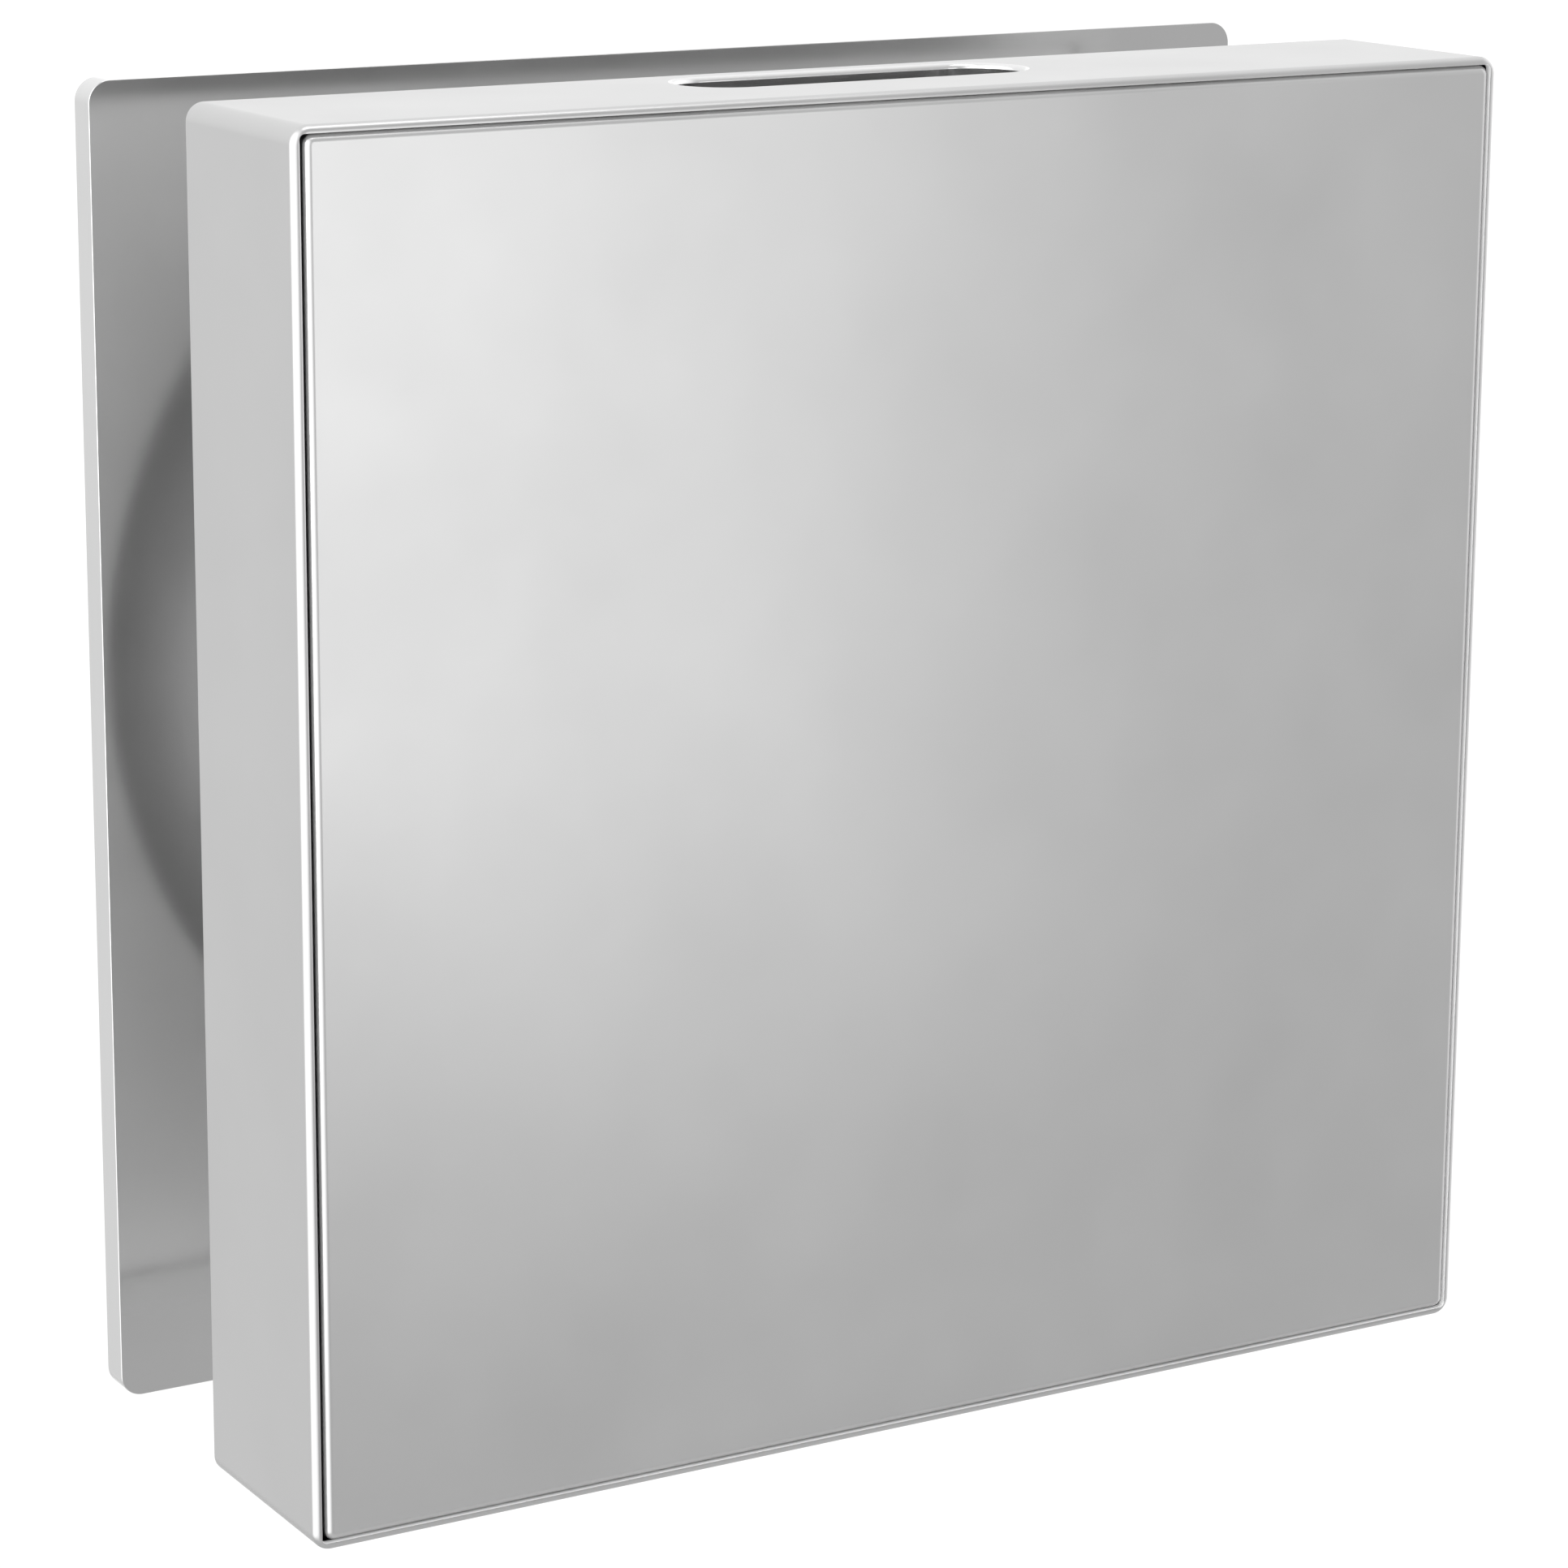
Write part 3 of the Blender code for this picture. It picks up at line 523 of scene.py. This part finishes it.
def put_on(obj: bpy.types.Object, body: Body, finish: Finish, *nodes: str) -> bpy.types.Object:
    """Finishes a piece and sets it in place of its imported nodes.

    Args:
        obj: The piece, in place in the row frame.
        body: The body it rides on.
        finish: Its finish.
        nodes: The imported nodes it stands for.

    Returns:
        The piece.
    """
    obj.data.materials.clear()
    obj.data.materials.append(finish.material())
    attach(obj, body.value)
    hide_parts(*nodes)
    LOG.info("%s: %d faces, %s", obj.name, len(obj.data.polygons), finish.name)
    return obj


def broken_edges(
    node: str, edge_mm: float, body: Body, finish: Finish, turn_deg: float = 35.0
) -> bpy.types.Object:
    """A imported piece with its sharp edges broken, as a deburred or moulded piece has.

    Args:
        node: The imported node.
        edge_mm: Width of the broken edge.
        body: The body it rides on.
        finish: Its finish.
        turn_deg: Edges that turn more than this are broken.

    Returns:
        The finished piece.
    """
    bm = bmesh.new()
    bm.from_mesh(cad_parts[node].data)
    bmesh.ops.remove_doubles(bm, verts=bm.verts, dist=0.002 * MM)
    bmesh.ops.dissolve_limit(
        bm, angle_limit=math.radians(0.5), verts=bm.verts, edges=bm.edges, use_dissolve_boundaries=False
    )
    limit = math.radians(turn_deg)
    sharp = [e for e in bm.edges if len(e.link_faces) == 2 and e.calc_face_angle(0.0) > limit]
    bmesh.ops.bevel(
        bm,
        geom=sharp,
        offset=edge_mm * MM,
        segments=3,
        profile=0.5,
        affect="EDGES",
        clamp_overlap=True,
    )
    piece = smoothed(object_from(bm, f"{node}_finished"))
    return put_on(piece, body, finish, node)


def stretched_cube(low: Sequence[float], high: Sequence[float]) -> bmesh.types.BMesh:
    """A box bmesh between two corners, the start of every folded sheet."""
    bm = bmesh.new()
    bmesh.ops.create_cube(bm, size=1.0)
    low_corner, high_corner = Vector(low), Vector(high)
    bmesh.ops.scale(bm, vec=high_corner - low_corner, verts=bm.verts)
    bmesh.ops.translate(bm, vec=(high_corner + low_corner) / 2, verts=bm.verts)
    return bm


def edges_along(bm: bmesh.types.BMesh, axis: Axis) -> list[bmesh.types.BMEdge]:
    """The edges of a box bmesh that run along an axis."""
    return [
        e for e in bm.edges if abs((e.verts[1].co - e.verts[0].co).normalized()[axis.value]) > 0.999
    ]


def outermost(bm: bmesh.types.BMesh, axis: Axis, sign: int) -> bmesh.types.BMFace:
    """The face furthest out along an axis."""
    return max(bm.faces, key=lambda face: sign * face.calc_center_median()[axis.value])


def cut(target: bpy.types.Object, tool: bpy.types.Object) -> None:
    """Cuts one object with another, which is then removed."""
    knife = target.modifiers.new("cut", "BOOLEAN")
    knife.operation = "DIFFERENCE"
    knife.object = tool
    settled(target)
    bpy.data.objects.remove(tool)


def round_rod(
    radius: float, start: Sequence[float], end: Sequence[float], sides: int = 32
) -> bpy.types.Object:
    """A round cutting tool between two points."""
    first, last = Vector(start), Vector(end)
    bm = bmesh.new()
    bmesh.ops.create_cone(
        bm, cap_ends=True, segments=sides, radius1=radius, radius2=radius, depth=(last - first).length
    )
    turn = (last - first).to_track_quat("Z", "Y").to_matrix().to_4x4()
    bmesh.ops.transform(bm, matrix=Matrix.Translation((first + last) / 2) @ turn, verts=bm.verts)
    return object_from(bm, "rod_tool")


def middle_of(node: str) -> Vector:
    """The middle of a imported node's box."""
    low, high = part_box(node)
    return (low + high) / 2


def pierce(target: bpy.types.Object, radius: float, place: Sequence[float], sheet: float) -> None:
    """Drills a sheet that lies across the depth.

    Args:
        target: The piece.
        radius: The hole's radius.
        place: The hole's centre, on the sheet.
        sheet: The sheet's thickness.
    """
    x, y, z = place
    reach = 1.5 * sheet
    cut(target, round_rod(radius, (x, y - reach, z), (x, y + reach, z)))


def turned(name: str, profile: Iterable[Point], sides: int) -> bpy.types.Object:
    """A closed lathe form about Z.

    Args:
        name: The object's name.
        profile: Closed loop of (radius, height).
        sides: Steps round.

    Returns:
        The turned object, its centre at the origin.
    """
    bm = bmesh.new()
    ring = [bm.verts.new((radius, 0.0, height)) for radius, height in profile]
    edges = [bm.edges.new((a, b)) for a, b in zip(ring, ring[1:] + ring[:1])]
    bmesh.ops.spin(
        bm,
        geom=ring + edges,
        cent=(0, 0, 0),
        axis=(0, 0, 1),
        dvec=(0, 0, 0),
        angle=2 * math.pi,
        steps=sides,
        use_merge=True,
    )
    bmesh.ops.remove_doubles(bm, verts=bm.verts, dist=0.001 * MM)
    bmesh.ops.recalc_face_normals(bm, faces=bm.faces)
    return object_from(bm, name)


@dataclass
class FoldedPan:
    """A square pan folded from one sheet, with welded and dressed corners.

    Attributes:
        low: Lowest corner of the outside.
        high: Highest corner of the outside.
        sheet: Sheet thickness.
        corner_r: Radius of the four corners, seen from the front.
        edge_r: Radius of the front fold.
        lip: Width of an inward lip that leaves the front open, or 0 for a closed front.
        opening_r: Corner radius of the opening inside the lip.
        flange: Width of an inward flange round the open back, or 0 for none.
        corner_steps: Facets round each corner.
        edge_steps: Facets round the front fold.
    """

    low: Place
    high: Place
    sheet: float
    corner_r: float
    edge_r: float
    lip: float = 0.0
    opening_r: float = 0.0
    flange: float = 0.0
    corner_steps: int = 14
    edge_steps: int = 10

    def build(self, name: str) -> bpy.types.Object:
        """Folds the pan.

        Args:
            name: The object's name.

        Returns:
            The pan as a closed solid of sheet thickness.
        """
        bm = stretched_cube(self.low, self.high)
        bmesh.ops.bevel(
            bm,
            geom=edges_along(bm, Axis.Y),
            offset=self.corner_r,
            segments=self.corner_steps,
            profile=0.5,
            affect="EDGES",
        )
        bm.normal_update()
        fold = list(outermost(bm, Axis.Y, -1).edges)
        if not self.flange:
            bmesh.ops.delete(bm, geom=[outermost(bm, Axis.Y, 1)], context="FACES_ONLY")
        bmesh.ops.bevel(
            bm, geom=fold, offset=self.edge_r, segments=self.edge_steps, profile=0.5, affect="EDGES"
        )
        pan = object_from(bm, name)
        thick = pan.modifiers.new("sheet", "SOLIDIFY")
        thick.thickness = self.sheet
        thick.offset = -1.0
        thick.use_even_offset = True
        settled(pan)
        reach = 2 * MM
        if self.flange:
            cut(pan, self.window(self.flange, self.high[1] - self.sheet - reach, self.high[1] + reach))
        if self.lip:
            first, last = self.low[1] - reach, self.low[1] + self.sheet + reach
            cut(pan, self.window(self.lip, first, last, self.opening_r))
        return pan

    def window(
        self, border: float, first_y: float, last_y: float, radius: float = 0.0
    ) -> bpy.types.Object:
        """A prism inside a border, such as the tool that cuts the pan open.

        Args:
            border: Width of sheet left all round.
            first_y: Where the tool starts.
            last_y: Where it ends.
            radius: Corner radius of the opening.

        Returns:
            The prism.
        """
        (x0, _, z0), (x1, _, z1) = self.low, self.high
        bm = stretched_cube((x0 + border, first_y, z0 + border), (x1 - border, last_y, z1 - border))
        if radius:
            corners = edges_along(bm, Axis.Y)
            bmesh.ops.bevel(bm, geom=corners, offset=radius, segments=8, profile=0.5, affect="EDGES")
        return object_from(bm, "window_tool")


# ---------------------------------------------------------------- sub-assemblies


@dataclass
class WallPlate:
    """A shallow square pan on a board, flat on the wall, with the drum on its front."""

    sheet: float = 1.5 * MM
    corner_r: float = 8.5 * MM
    edge_r: float = 0.3 * MM
    screw_hole_r: float = 2.8 * MM
    wall_hole_r: float = 3.25 * MM
    wall_hole_place: Point = (0.57, 0.47)

    def build(self) -> None:
        """Builds the polished skin, pierces it for the screws and dresses the board."""
        low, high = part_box("wall_plate_skin")
        skin = FoldedPan(
            tuple(low), tuple(high), self.sheet, self.corner_r, self.edge_r, edge_steps=3
        ).build("wall_plate_skin_finished")
        holes = [(middle_of(f"wall_plate_screw_{i}"), self.screw_hole_r) for i in range(1, 5)]
        drum_low, drum_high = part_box("standoff_drum")
        centre, radius = (drum_low + drum_high) / 2, (drum_high.x - drum_low.x) / 2
        across, up = self.wall_hole_place
        for sign_x in (1, -1):
            for sign_z in (1, -1):
                place = centre + radius * Vector((sign_x * across, 0.0, sign_z * up))
                holes.append((place, self.wall_hole_r))
        for place, hole_r in holes:
            pierce(skin, hole_r, (place.x, low.y, place.z), self.sheet)
        put_on(smoothed(skin), Body.CABINET, POLISHED_PLATE, "wall_plate_skin")
        broken_edges("wall_plate_board", 0.3, Body.CABINET, FIBREBOARD)


@dataclass
class StandoffDrum:
    """A rolled ring with a flange turned in at each end."""

    sheet: float = 1.5 * MM
    flange: float = 24 * MM
    fold_r: float = 1.2 * MM
    screw_hole_r: float = 2.8 * MM
    sides: int = 160

    def build(self) -> None:
        """Rolls the drum with softly folded flanges."""
        low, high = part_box("standoff_drum")
        radius, length = (high.x - low.x) / 2, high.y - low.y
        centre = Vector(((high.x + low.x) / 2, high.y, (high.z + low.z) / 2))
        inner = radius - self.sheet
        steps = [math.pi / 2 * i / 6 for i in range(7)]
        fold = self.fold_r
        top = [(radius - fold + fold * math.sin(a), length - fold + fold * math.cos(a)) for a in steps]
        foot = [(x, length - z) for x, z in reversed(top)]
        mouth = radius - self.flange
        profile = [(mouth, length), *top, *foot, (mouth, 0.0), (mouth, self.sheet)]
        profile += [(inner, self.sheet), (inner, length - self.sheet), (mouth, length - self.sheet)]
        drum = turned("standoff_drum_finished", profile, self.sides)
        drum.data.transform(Matrix.Translation(centre) @ Matrix.Rotation(math.pi / 2, 4, "X"))
        for screw, y in (("wall_plate_screw", high.y), ("cabinet_screw", low.y)):
            for i in range(1, 5):
                place = middle_of(f"{screw}_{i}")
                pierce(drum, self.screw_hole_r, (place.x, y, place.z), self.sheet)
        # The drum's dark tone is painted shade for the gap between the wall plate and the cabinet.
        put_on(smoothed(drum), Body.CABINET, DULL_STEEL, "standoff_drum")


@dataclass
class CabinetShell:
    """The cabinet's wrapped shell with a rolled front lip and a drawn slot in its top."""

    sheet: float = 1.5 * MM
    corner_r: float = 6.8 * MM
    lip: float = 2.8 * MM
    lip_r: float = 2.7 * MM
    opening_r: float = 2.0 * MM
    hem: float = 2.9 * MM
    hem_sheet: float = 0.3 * MM
    hem_proud: float = 0.1 * MM
    flange: float = 15 * MM
    slot_length: float = 142.5 * MM
    slot_width: float = 37 * MM
    slot_behind_front: float = 57.6 * MM
    slot_roll_r: float = 2.0 * MM
    collar_sheet: float = 1.2 * MM
    collar_depth: float = 12 * MM
    slot_steps: int = 24

    def build(self) -> None:
        """Folds the shell, cuts its slot and sets the rolled collar in it."""
        low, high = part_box("cabinet_shell")
        self.slot_centre = Vector((0.0, low.y + self.slot_behind_front, high.z))
        pan = FoldedPan(
            tuple(low),
            tuple(high),
            self.sheet,
            self.corner_r,
            self.lip_r,
            self.lip,
            self.opening_r,
            self.flange,
        )
        shell = pan.build("cabinet_shell_finished")
        cut(shell, self._slot_tool())
        put_on(smoothed(shell), Body.CABINET, SATIN_STEEL, "cabinet_shell")
        collar = smoothed(self._collar(), 50.0)
        put_on(collar, Body.CABINET, POLISHED_COLLAR, "cabinet_shell")
        put_on(self._hem(pan), Body.CABINET, BLASTED_HEM, "cabinet_shell")
        broken_edges("cabinet_back", 0.2, Body.CABINET, PICKLED_STEEL)

    def _hem(self, pan: FoldedPan) -> bpy.types.Object:
        """A thin matt edge turned back from the lip, which lines the opening for the door."""
        front = pan.low[1]
        first, last = front + self.hem_sheet, front + self.hem
        ring = pan.window(self.lip - self.hem_sheet, first, last, self.opening_r + self.hem_sheet)
        reach = 2 * MM
        border = self.lip + self.hem_proud
        cut(ring, pan.window(border, first - reach, last + reach, self.opening_r))
        ring.name = "lip_hem_finished"
        return ring

    def _outline(self, offset: float) -> list[Point]:
        """Points round the slot's stadium, moved out by offset."""
        radius = self.slot_width / 2 + offset
        straight = (self.slot_length - self.slot_width) / 2
        points = []
        for side in (1, -1):
            for step in range(self.slot_steps + 1):
                angle = -math.pi / 2 + math.pi * step / self.slot_steps
                points.append(
                    (side * (straight + radius * math.cos(angle)), side * radius * math.sin(angle))
                )
        return points

    def _slot_tool(self) -> bpy.types.Object:
        """The prism that cuts the slot through the shell's top."""
        bm = bmesh.new()
        reach = 3 * MM
        ring = [bm.verts.new((x, y, -reach)) for x, y in self._outline(self.slot_roll_r)]
        face = bm.faces.new(ring)
        risen = bmesh.ops.extrude_face_region(bm, geom=[face])["geom"]
        verts = [g for g in risen if isinstance(g, bmesh.types.BMVert)]
        bmesh.ops.translate(bm, vec=(0, 0, 2 * reach), verts=verts)
        bmesh.ops.translate(bm, vec=self.slot_centre, verts=bm.verts)
        bmesh.ops.recalc_face_normals(bm, faces=bm.faces)
        return object_from(bm, "slot_tool")

    def _section(self) -> list[Point]:
        """The collar's section: (distance out from the slot's wall, height)."""
        quarter = [math.pi / 2 * i / 8 for i in range(9)]
        outer, inner = self.slot_roll_r, self.slot_roll_r - self.collar_sheet
        over = [(outer * (1 - math.sin(a)), outer * (math.cos(a) - 1)) for a in quarter]
        under = [(outer - inner * math.sin(a), inner * math.cos(a) - outer) for a in reversed(quarter)]
        foot = [(0.0, -self.collar_depth), (self.collar_sheet, -self.collar_depth)]
        return over + foot + under

    def _collar(self) -> bpy.types.Object:
        """The collar: the section carried round the stadium as a closed ring."""
        bm = bmesh.new()
        rings = []
        for out, height in self._section():
            ring = [bm.verts.new((x, y, height)) for x, y in self._outline(out)]
            rings.append(ring)
        for ring, following in zip(rings, rings[1:] + rings[:1]):
            for i, vert in enumerate(ring):
                after = (i + 1) % len(ring)
                bm.faces.new((vert, ring[after], following[after], following[i]))
        bmesh.ops.translate(bm, vec=self.slot_centre, verts=bm.verts)
        bmesh.ops.recalc_face_normals(bm, faces=bm.faces)
        return object_from(bm, "slot_collar_finished")


@dataclass
class Shelves:
    """A folded steel shelf under the slot, and two glass shelves on weld studs."""

    def build(self) -> None:
        """Dresses the shelves and the studs that carry the glass."""
        broken_edges("tissue_shelf", 0.35, Body.CABINET, SATIN_STEEL)
        for level in ("upper", "lower"):
            broken_edges(f"glass_shelf_{level}", 0.6, Body.CABINET, GLASS)
            for i in range(1, 5):
                broken_edges(f"{level}_shelf_stud_{i}", 0.3, Body.CABINET, ZINC)


@dataclass
class Door:
    """The polished door pan with its core, its inner mirror and the strike."""

    sheet: float = 1.2 * MM
    corner_r: float = 3.8 * MM
    edge_r: float = 3.0 * MM
    flange: float = 12 * MM
    pin_passage_r: float = 3.3 * MM

    def build(self) -> None:
        """Folds the door pan, pierces it for the pins and dresses what it holds."""
        low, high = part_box("door_skin")
        skin = FoldedPan(
            tuple(low), tuple(high), self.sheet, self.corner_r, self.edge_r, flange=self.flange
        ).build("door_skin_finished")
        for node, z in (("upper_hinge_pin", high.z), ("lower_hinge_pin", low.z)):
            x, y, _ = middle_of(node)
            cut(skin, round_rod(self.pin_passage_r, (x, y, z - 2 * MM), (x, y, z + 2 * MM)))
        put_on(smoothed(skin), Body.DOOR, POLISHED_DOOR, "door_skin")
        broken_edges("inner_mirror", 0.4, Body.DOOR, SILVERED)
        broken_edges("mirror_gasket", 0.2, Body.DOOR, RUBBER)
        broken_edges("door_core", 0.2, Body.DOOR, FOAM)
        broken_edges("strike_plate", 0.15, Body.DOOR, ZINC)


@dataclass
class Hinges:
    """Pins on two brackets in the shell, turning in bushes in the door's corners."""

    def build(self) -> None:
        """Dresses the brackets, pins and bushes."""
        for level in ("upper", "lower"):
            broken_edges(f"{level}_hinge_bracket", 0.2, Body.CABINET, ZINC)
            broken_edges(f"{level}_hinge_pin", 0.15, Body.CABINET, ZINC)
            broken_edges(f"{level}_hinge_bush", 0.3, Body.DOOR, NYLON)


@dataclass
class StopAndLatch:
    """The angle that stops the door, its bumpers and the push latch."""

    def build(self) -> None:
        """Dresses the angle, bumpers, latch and plunger."""
        broken_edges("door_stop_angle", 0.2, Body.CABINET, ZINC)
        for level in ("upper", "lower"):
            broken_edges(f"{level}_bumper", 0.3, Body.CABINET, SILICONE)
        broken_edges("latch_housing", 0.4, Body.CABINET, NYLON)
        broken_edges("latch_plunger", 0.3, Body.PLUNGER, NYLON)


@dataclass
class Fasteners:
    """The screws and weld nuts."""

    drum_screws: int = 4
    latch_screws: int = 2

    def build(self) -> None:
        """Dresses each screw and nut."""
        for i in range(1, self.drum_screws + 1):
            broken_edges(f"wall_plate_screw_{i}", 0.15, Body.CABINET, ZINC)
            broken_edges(f"cabinet_screw_{i}", 0.15, Body.CABINET, ZINC)
            broken_edges(f"cabinet_nut_{i}", 0.3, Body.CABINET, ZINC)
        for i in range(1, self.latch_screws + 1):
            broken_edges(f"latch_screw_{i}", 0.1, Body.CABINET, ZINC)


# ---------------------------------------------------------------- studio


@dataclass(frozen=True)
class SoftBox:
    """A rectangular studio light.

    Attributes:
        name: The light's name.
        place: Where it stands.
        aim: The point it faces.
        size: Width and height, in metres.
        power: Watts.
    """

    name: str
    place: Place
    aim: Place
    size: Point
    power: float

    def build(self) -> None:
        """Sets up the light."""
        data = bpy.data.lights.new(self.name, "AREA")
        data.shape = "RECTANGLE"
        data.size, data.size_y = self.size
        data.energy = self.power
        lamp = bpy.data.objects.new(self.name, data)
        lamp.location = self.place
        lamp.rotation_euler = (Vector(self.aim) - Vector(self.place)).to_track_quat("-Z", "Y").to_euler()
        bpy.context.scene.collection.objects.link(lamp)


@dataclass(frozen=True)
class Wing:
    """A broad bright part of the surround, such as a white wall lit from close by.

    Attributes:
        way: Direction of its middle, from the cabinet.
        full_deg: Angle from the middle out to which it is fully bright.
        gone_deg: Angle where it has faded out.
        gain: Brightness that it adds.
    """

    way: Place
    full_deg: float
    gone_deg: float
    gain: float

    def glow(self, tree: Tree, way: Socket) -> Socket:
        """Adds the nodes that give its brightness in a direction.

        Args:
            tree: The surround's node tree.
            way: The direction looked in.

        Returns:
            The brightness.
        """
        middle = Vector(self.way).normalized()
        facing = add_node(
            tree, "ShaderNodeVectorMath", {"operation": "DOT_PRODUCT", 1: middle}, {0: way}
        )
        fade = add_node(
            tree,
            "ShaderNodeMapRange",
            {
                "interpolation_type": "SMOOTHSTEP",
                "From Min": math.cos(math.radians(self.gone_deg)),
                "From Max": math.cos(math.radians(self.full_deg)),
                "To Min": 0.0,
                "To Max": self.gain,
            },
            {"Value": facing.outputs["Value"]},
        )
        return fade.outputs["Result"]


@dataclass
class Studio:
    """A bright surround, a pale floor well below the hung cabinet, soft lights and the camera."""

    floor_z: float = -1.05
    floor_half: float = 1.8
    lens: float = 110.76
    shift: Point = (0.0800, -0.0615)
    camera_place: Place = (-0.9171, -1.6238, 0.4200)
    camera_turn_deg: Place = (77.224, 0.0, -29.222)
    heights: tuple[tuple[float, float], ...] = (
        (-1.0, 0.35),
        (-0.45, 0.95),
        (-0.1, 1.03),
        (0.12, 1.15),
        (0.45, 1.25),
        (1.0, 1.4),
    )
    behind: float = 0.94
    before: float = 0.55
    wings: tuple[Wing, ...] = (
        Wing((-0.94, -0.34, 0.05), 38.0, 72.0, 1.4),
        Wing((0.97, -0.05, 0.05), 20.0, 52.0, 0.5),
        Wing((0.50, 0.83, -0.24), 20.0, 34.0, 0.15),
    )
    boxes: tuple[SoftBox, ...] = (
        SoftBox("key_front", (0.92, -2.9, -0.02), (-0.1, -0.18, 0.05), (1.2, 1.8), 7.8),
        SoftBox("strip_left", (-2.4, -1.2, 0.2), (-0.2, -0.15, 0.0), (0.4, 2.0), 8.0),
        SoftBox("overhead", (0.3, -0.9, 2.4), (0.0, -0.15, 0.25), (1.4, 1.0), 10.0),
    )

    def build(self) -> None:
        """Builds the surround, floor, lights and camera."""
        bpy.context.scene.view_settings.view_transform = "Standard"
        self._surround()
        self._floor()
        for box in self.boxes:
            box.build()
        self._camera()
        LOG.info("studio: %d soft boxes", len(self.boxes))

    def _surround(self) -> None:
        """A surround that is paler towards the top and behind the cabinet."""
        world = bpy.data.worlds.new("studio_surround")
        bpy.context.scene.world = world
        world.use_nodes = True
        tree = world.node_tree
        tree.nodes.clear()
        way = add_node(tree, "ShaderNodeTexCoord").outputs["Generated"]
        parts = add_node(tree, "ShaderNodeSeparateXYZ", links={0: way})
        level = add_node(
            tree, "ShaderNodeMapRange", {"From Min": -1.0, "From Max": 1.0}, {"Value": parts.outputs["Z"]}
        )
        peak = max(value for _, value in self.heights)
        stops = [((height + 1) / 2, value / peak) for height, value in self.heights]
        glow_at = ramp_of(tree, level.outputs["Result"], stops)
        depth = add_node(
            tree,
            "ShaderNodeMapRange",
            {
                "interpolation_type": "SMOOTHSTEP",
                "From Min": -0.9,
                "From Max": 0.6,
                "To Min": self.before * peak,
                "To Max": self.behind * peak,
            },
            {"Value": parts.outputs["Y"]},
        )
        level = add_node(
            tree,
            "ShaderNodeMath",
            {"operation": "MULTIPLY"},
            {0: glow_at, 1: depth.outputs["Result"]},
        )
        for wing in self.wings:
            level = add_node(
                tree,
                "ShaderNodeMath",
                {"operation": "ADD"},
                {0: level.outputs["Value"], 1: wing.glow(tree, way)},
            )
        white = (1.0, 1.0, 1.0, 1.0)
        glow = add_node(
            tree, "ShaderNodeBackground", {"Color": white}, {"Strength": level.outputs["Value"]}
        )
        add_node(tree, "ShaderNodeOutputWorld", links={"Surface": glow.outputs["Background"]})

    def _floor(self) -> None:
        """The pale floor, finely divided and far below."""
        bm = bmesh.new()
        bmesh.ops.create_grid(bm, x_segments=8, y_segments=8, size=self.floor_half)
        floor = object_from(bm, "studio_floor")
        floor.location = (0.0, -0.1, self.floor_z)
        floor.data.materials.append(StudioPaint("studio_floor_paint", "").material())

    def _camera(self) -> None:
        """The camera, high on the cabinet's left and framed by a lens shift."""
        data = bpy.data.cameras.new("camera")
        data.lens = self.lens
        data.sensor_width = 36.0
        data.shift_x, data.shift_y = self.shift
        camera = bpy.data.objects.new("camera", data)
        camera.location = self.camera_place
        camera.rotation_euler = [math.radians(turn) for turn in self.camera_turn_deg]
        bpy.context.scene.collection.objects.link(camera)
        bpy.context.scene.camera = camera


def main() -> None:
    """Builds the cabinet piece by piece, then the studio."""
    logging.basicConfig(level=logging.INFO, format="%(message)s")
    for part in (
        WallPlate(),
        StandoffDrum(),
        CabinetShell(),
        Shelves(),
        Door(),
        Hinges(),
        StopAndLatch(),
        Fasteners(),
    ):
        part.build()
        LOG.info("%s done", type(part).__name__)
    Studio().build()


if __name__ == "__main__":
    main()
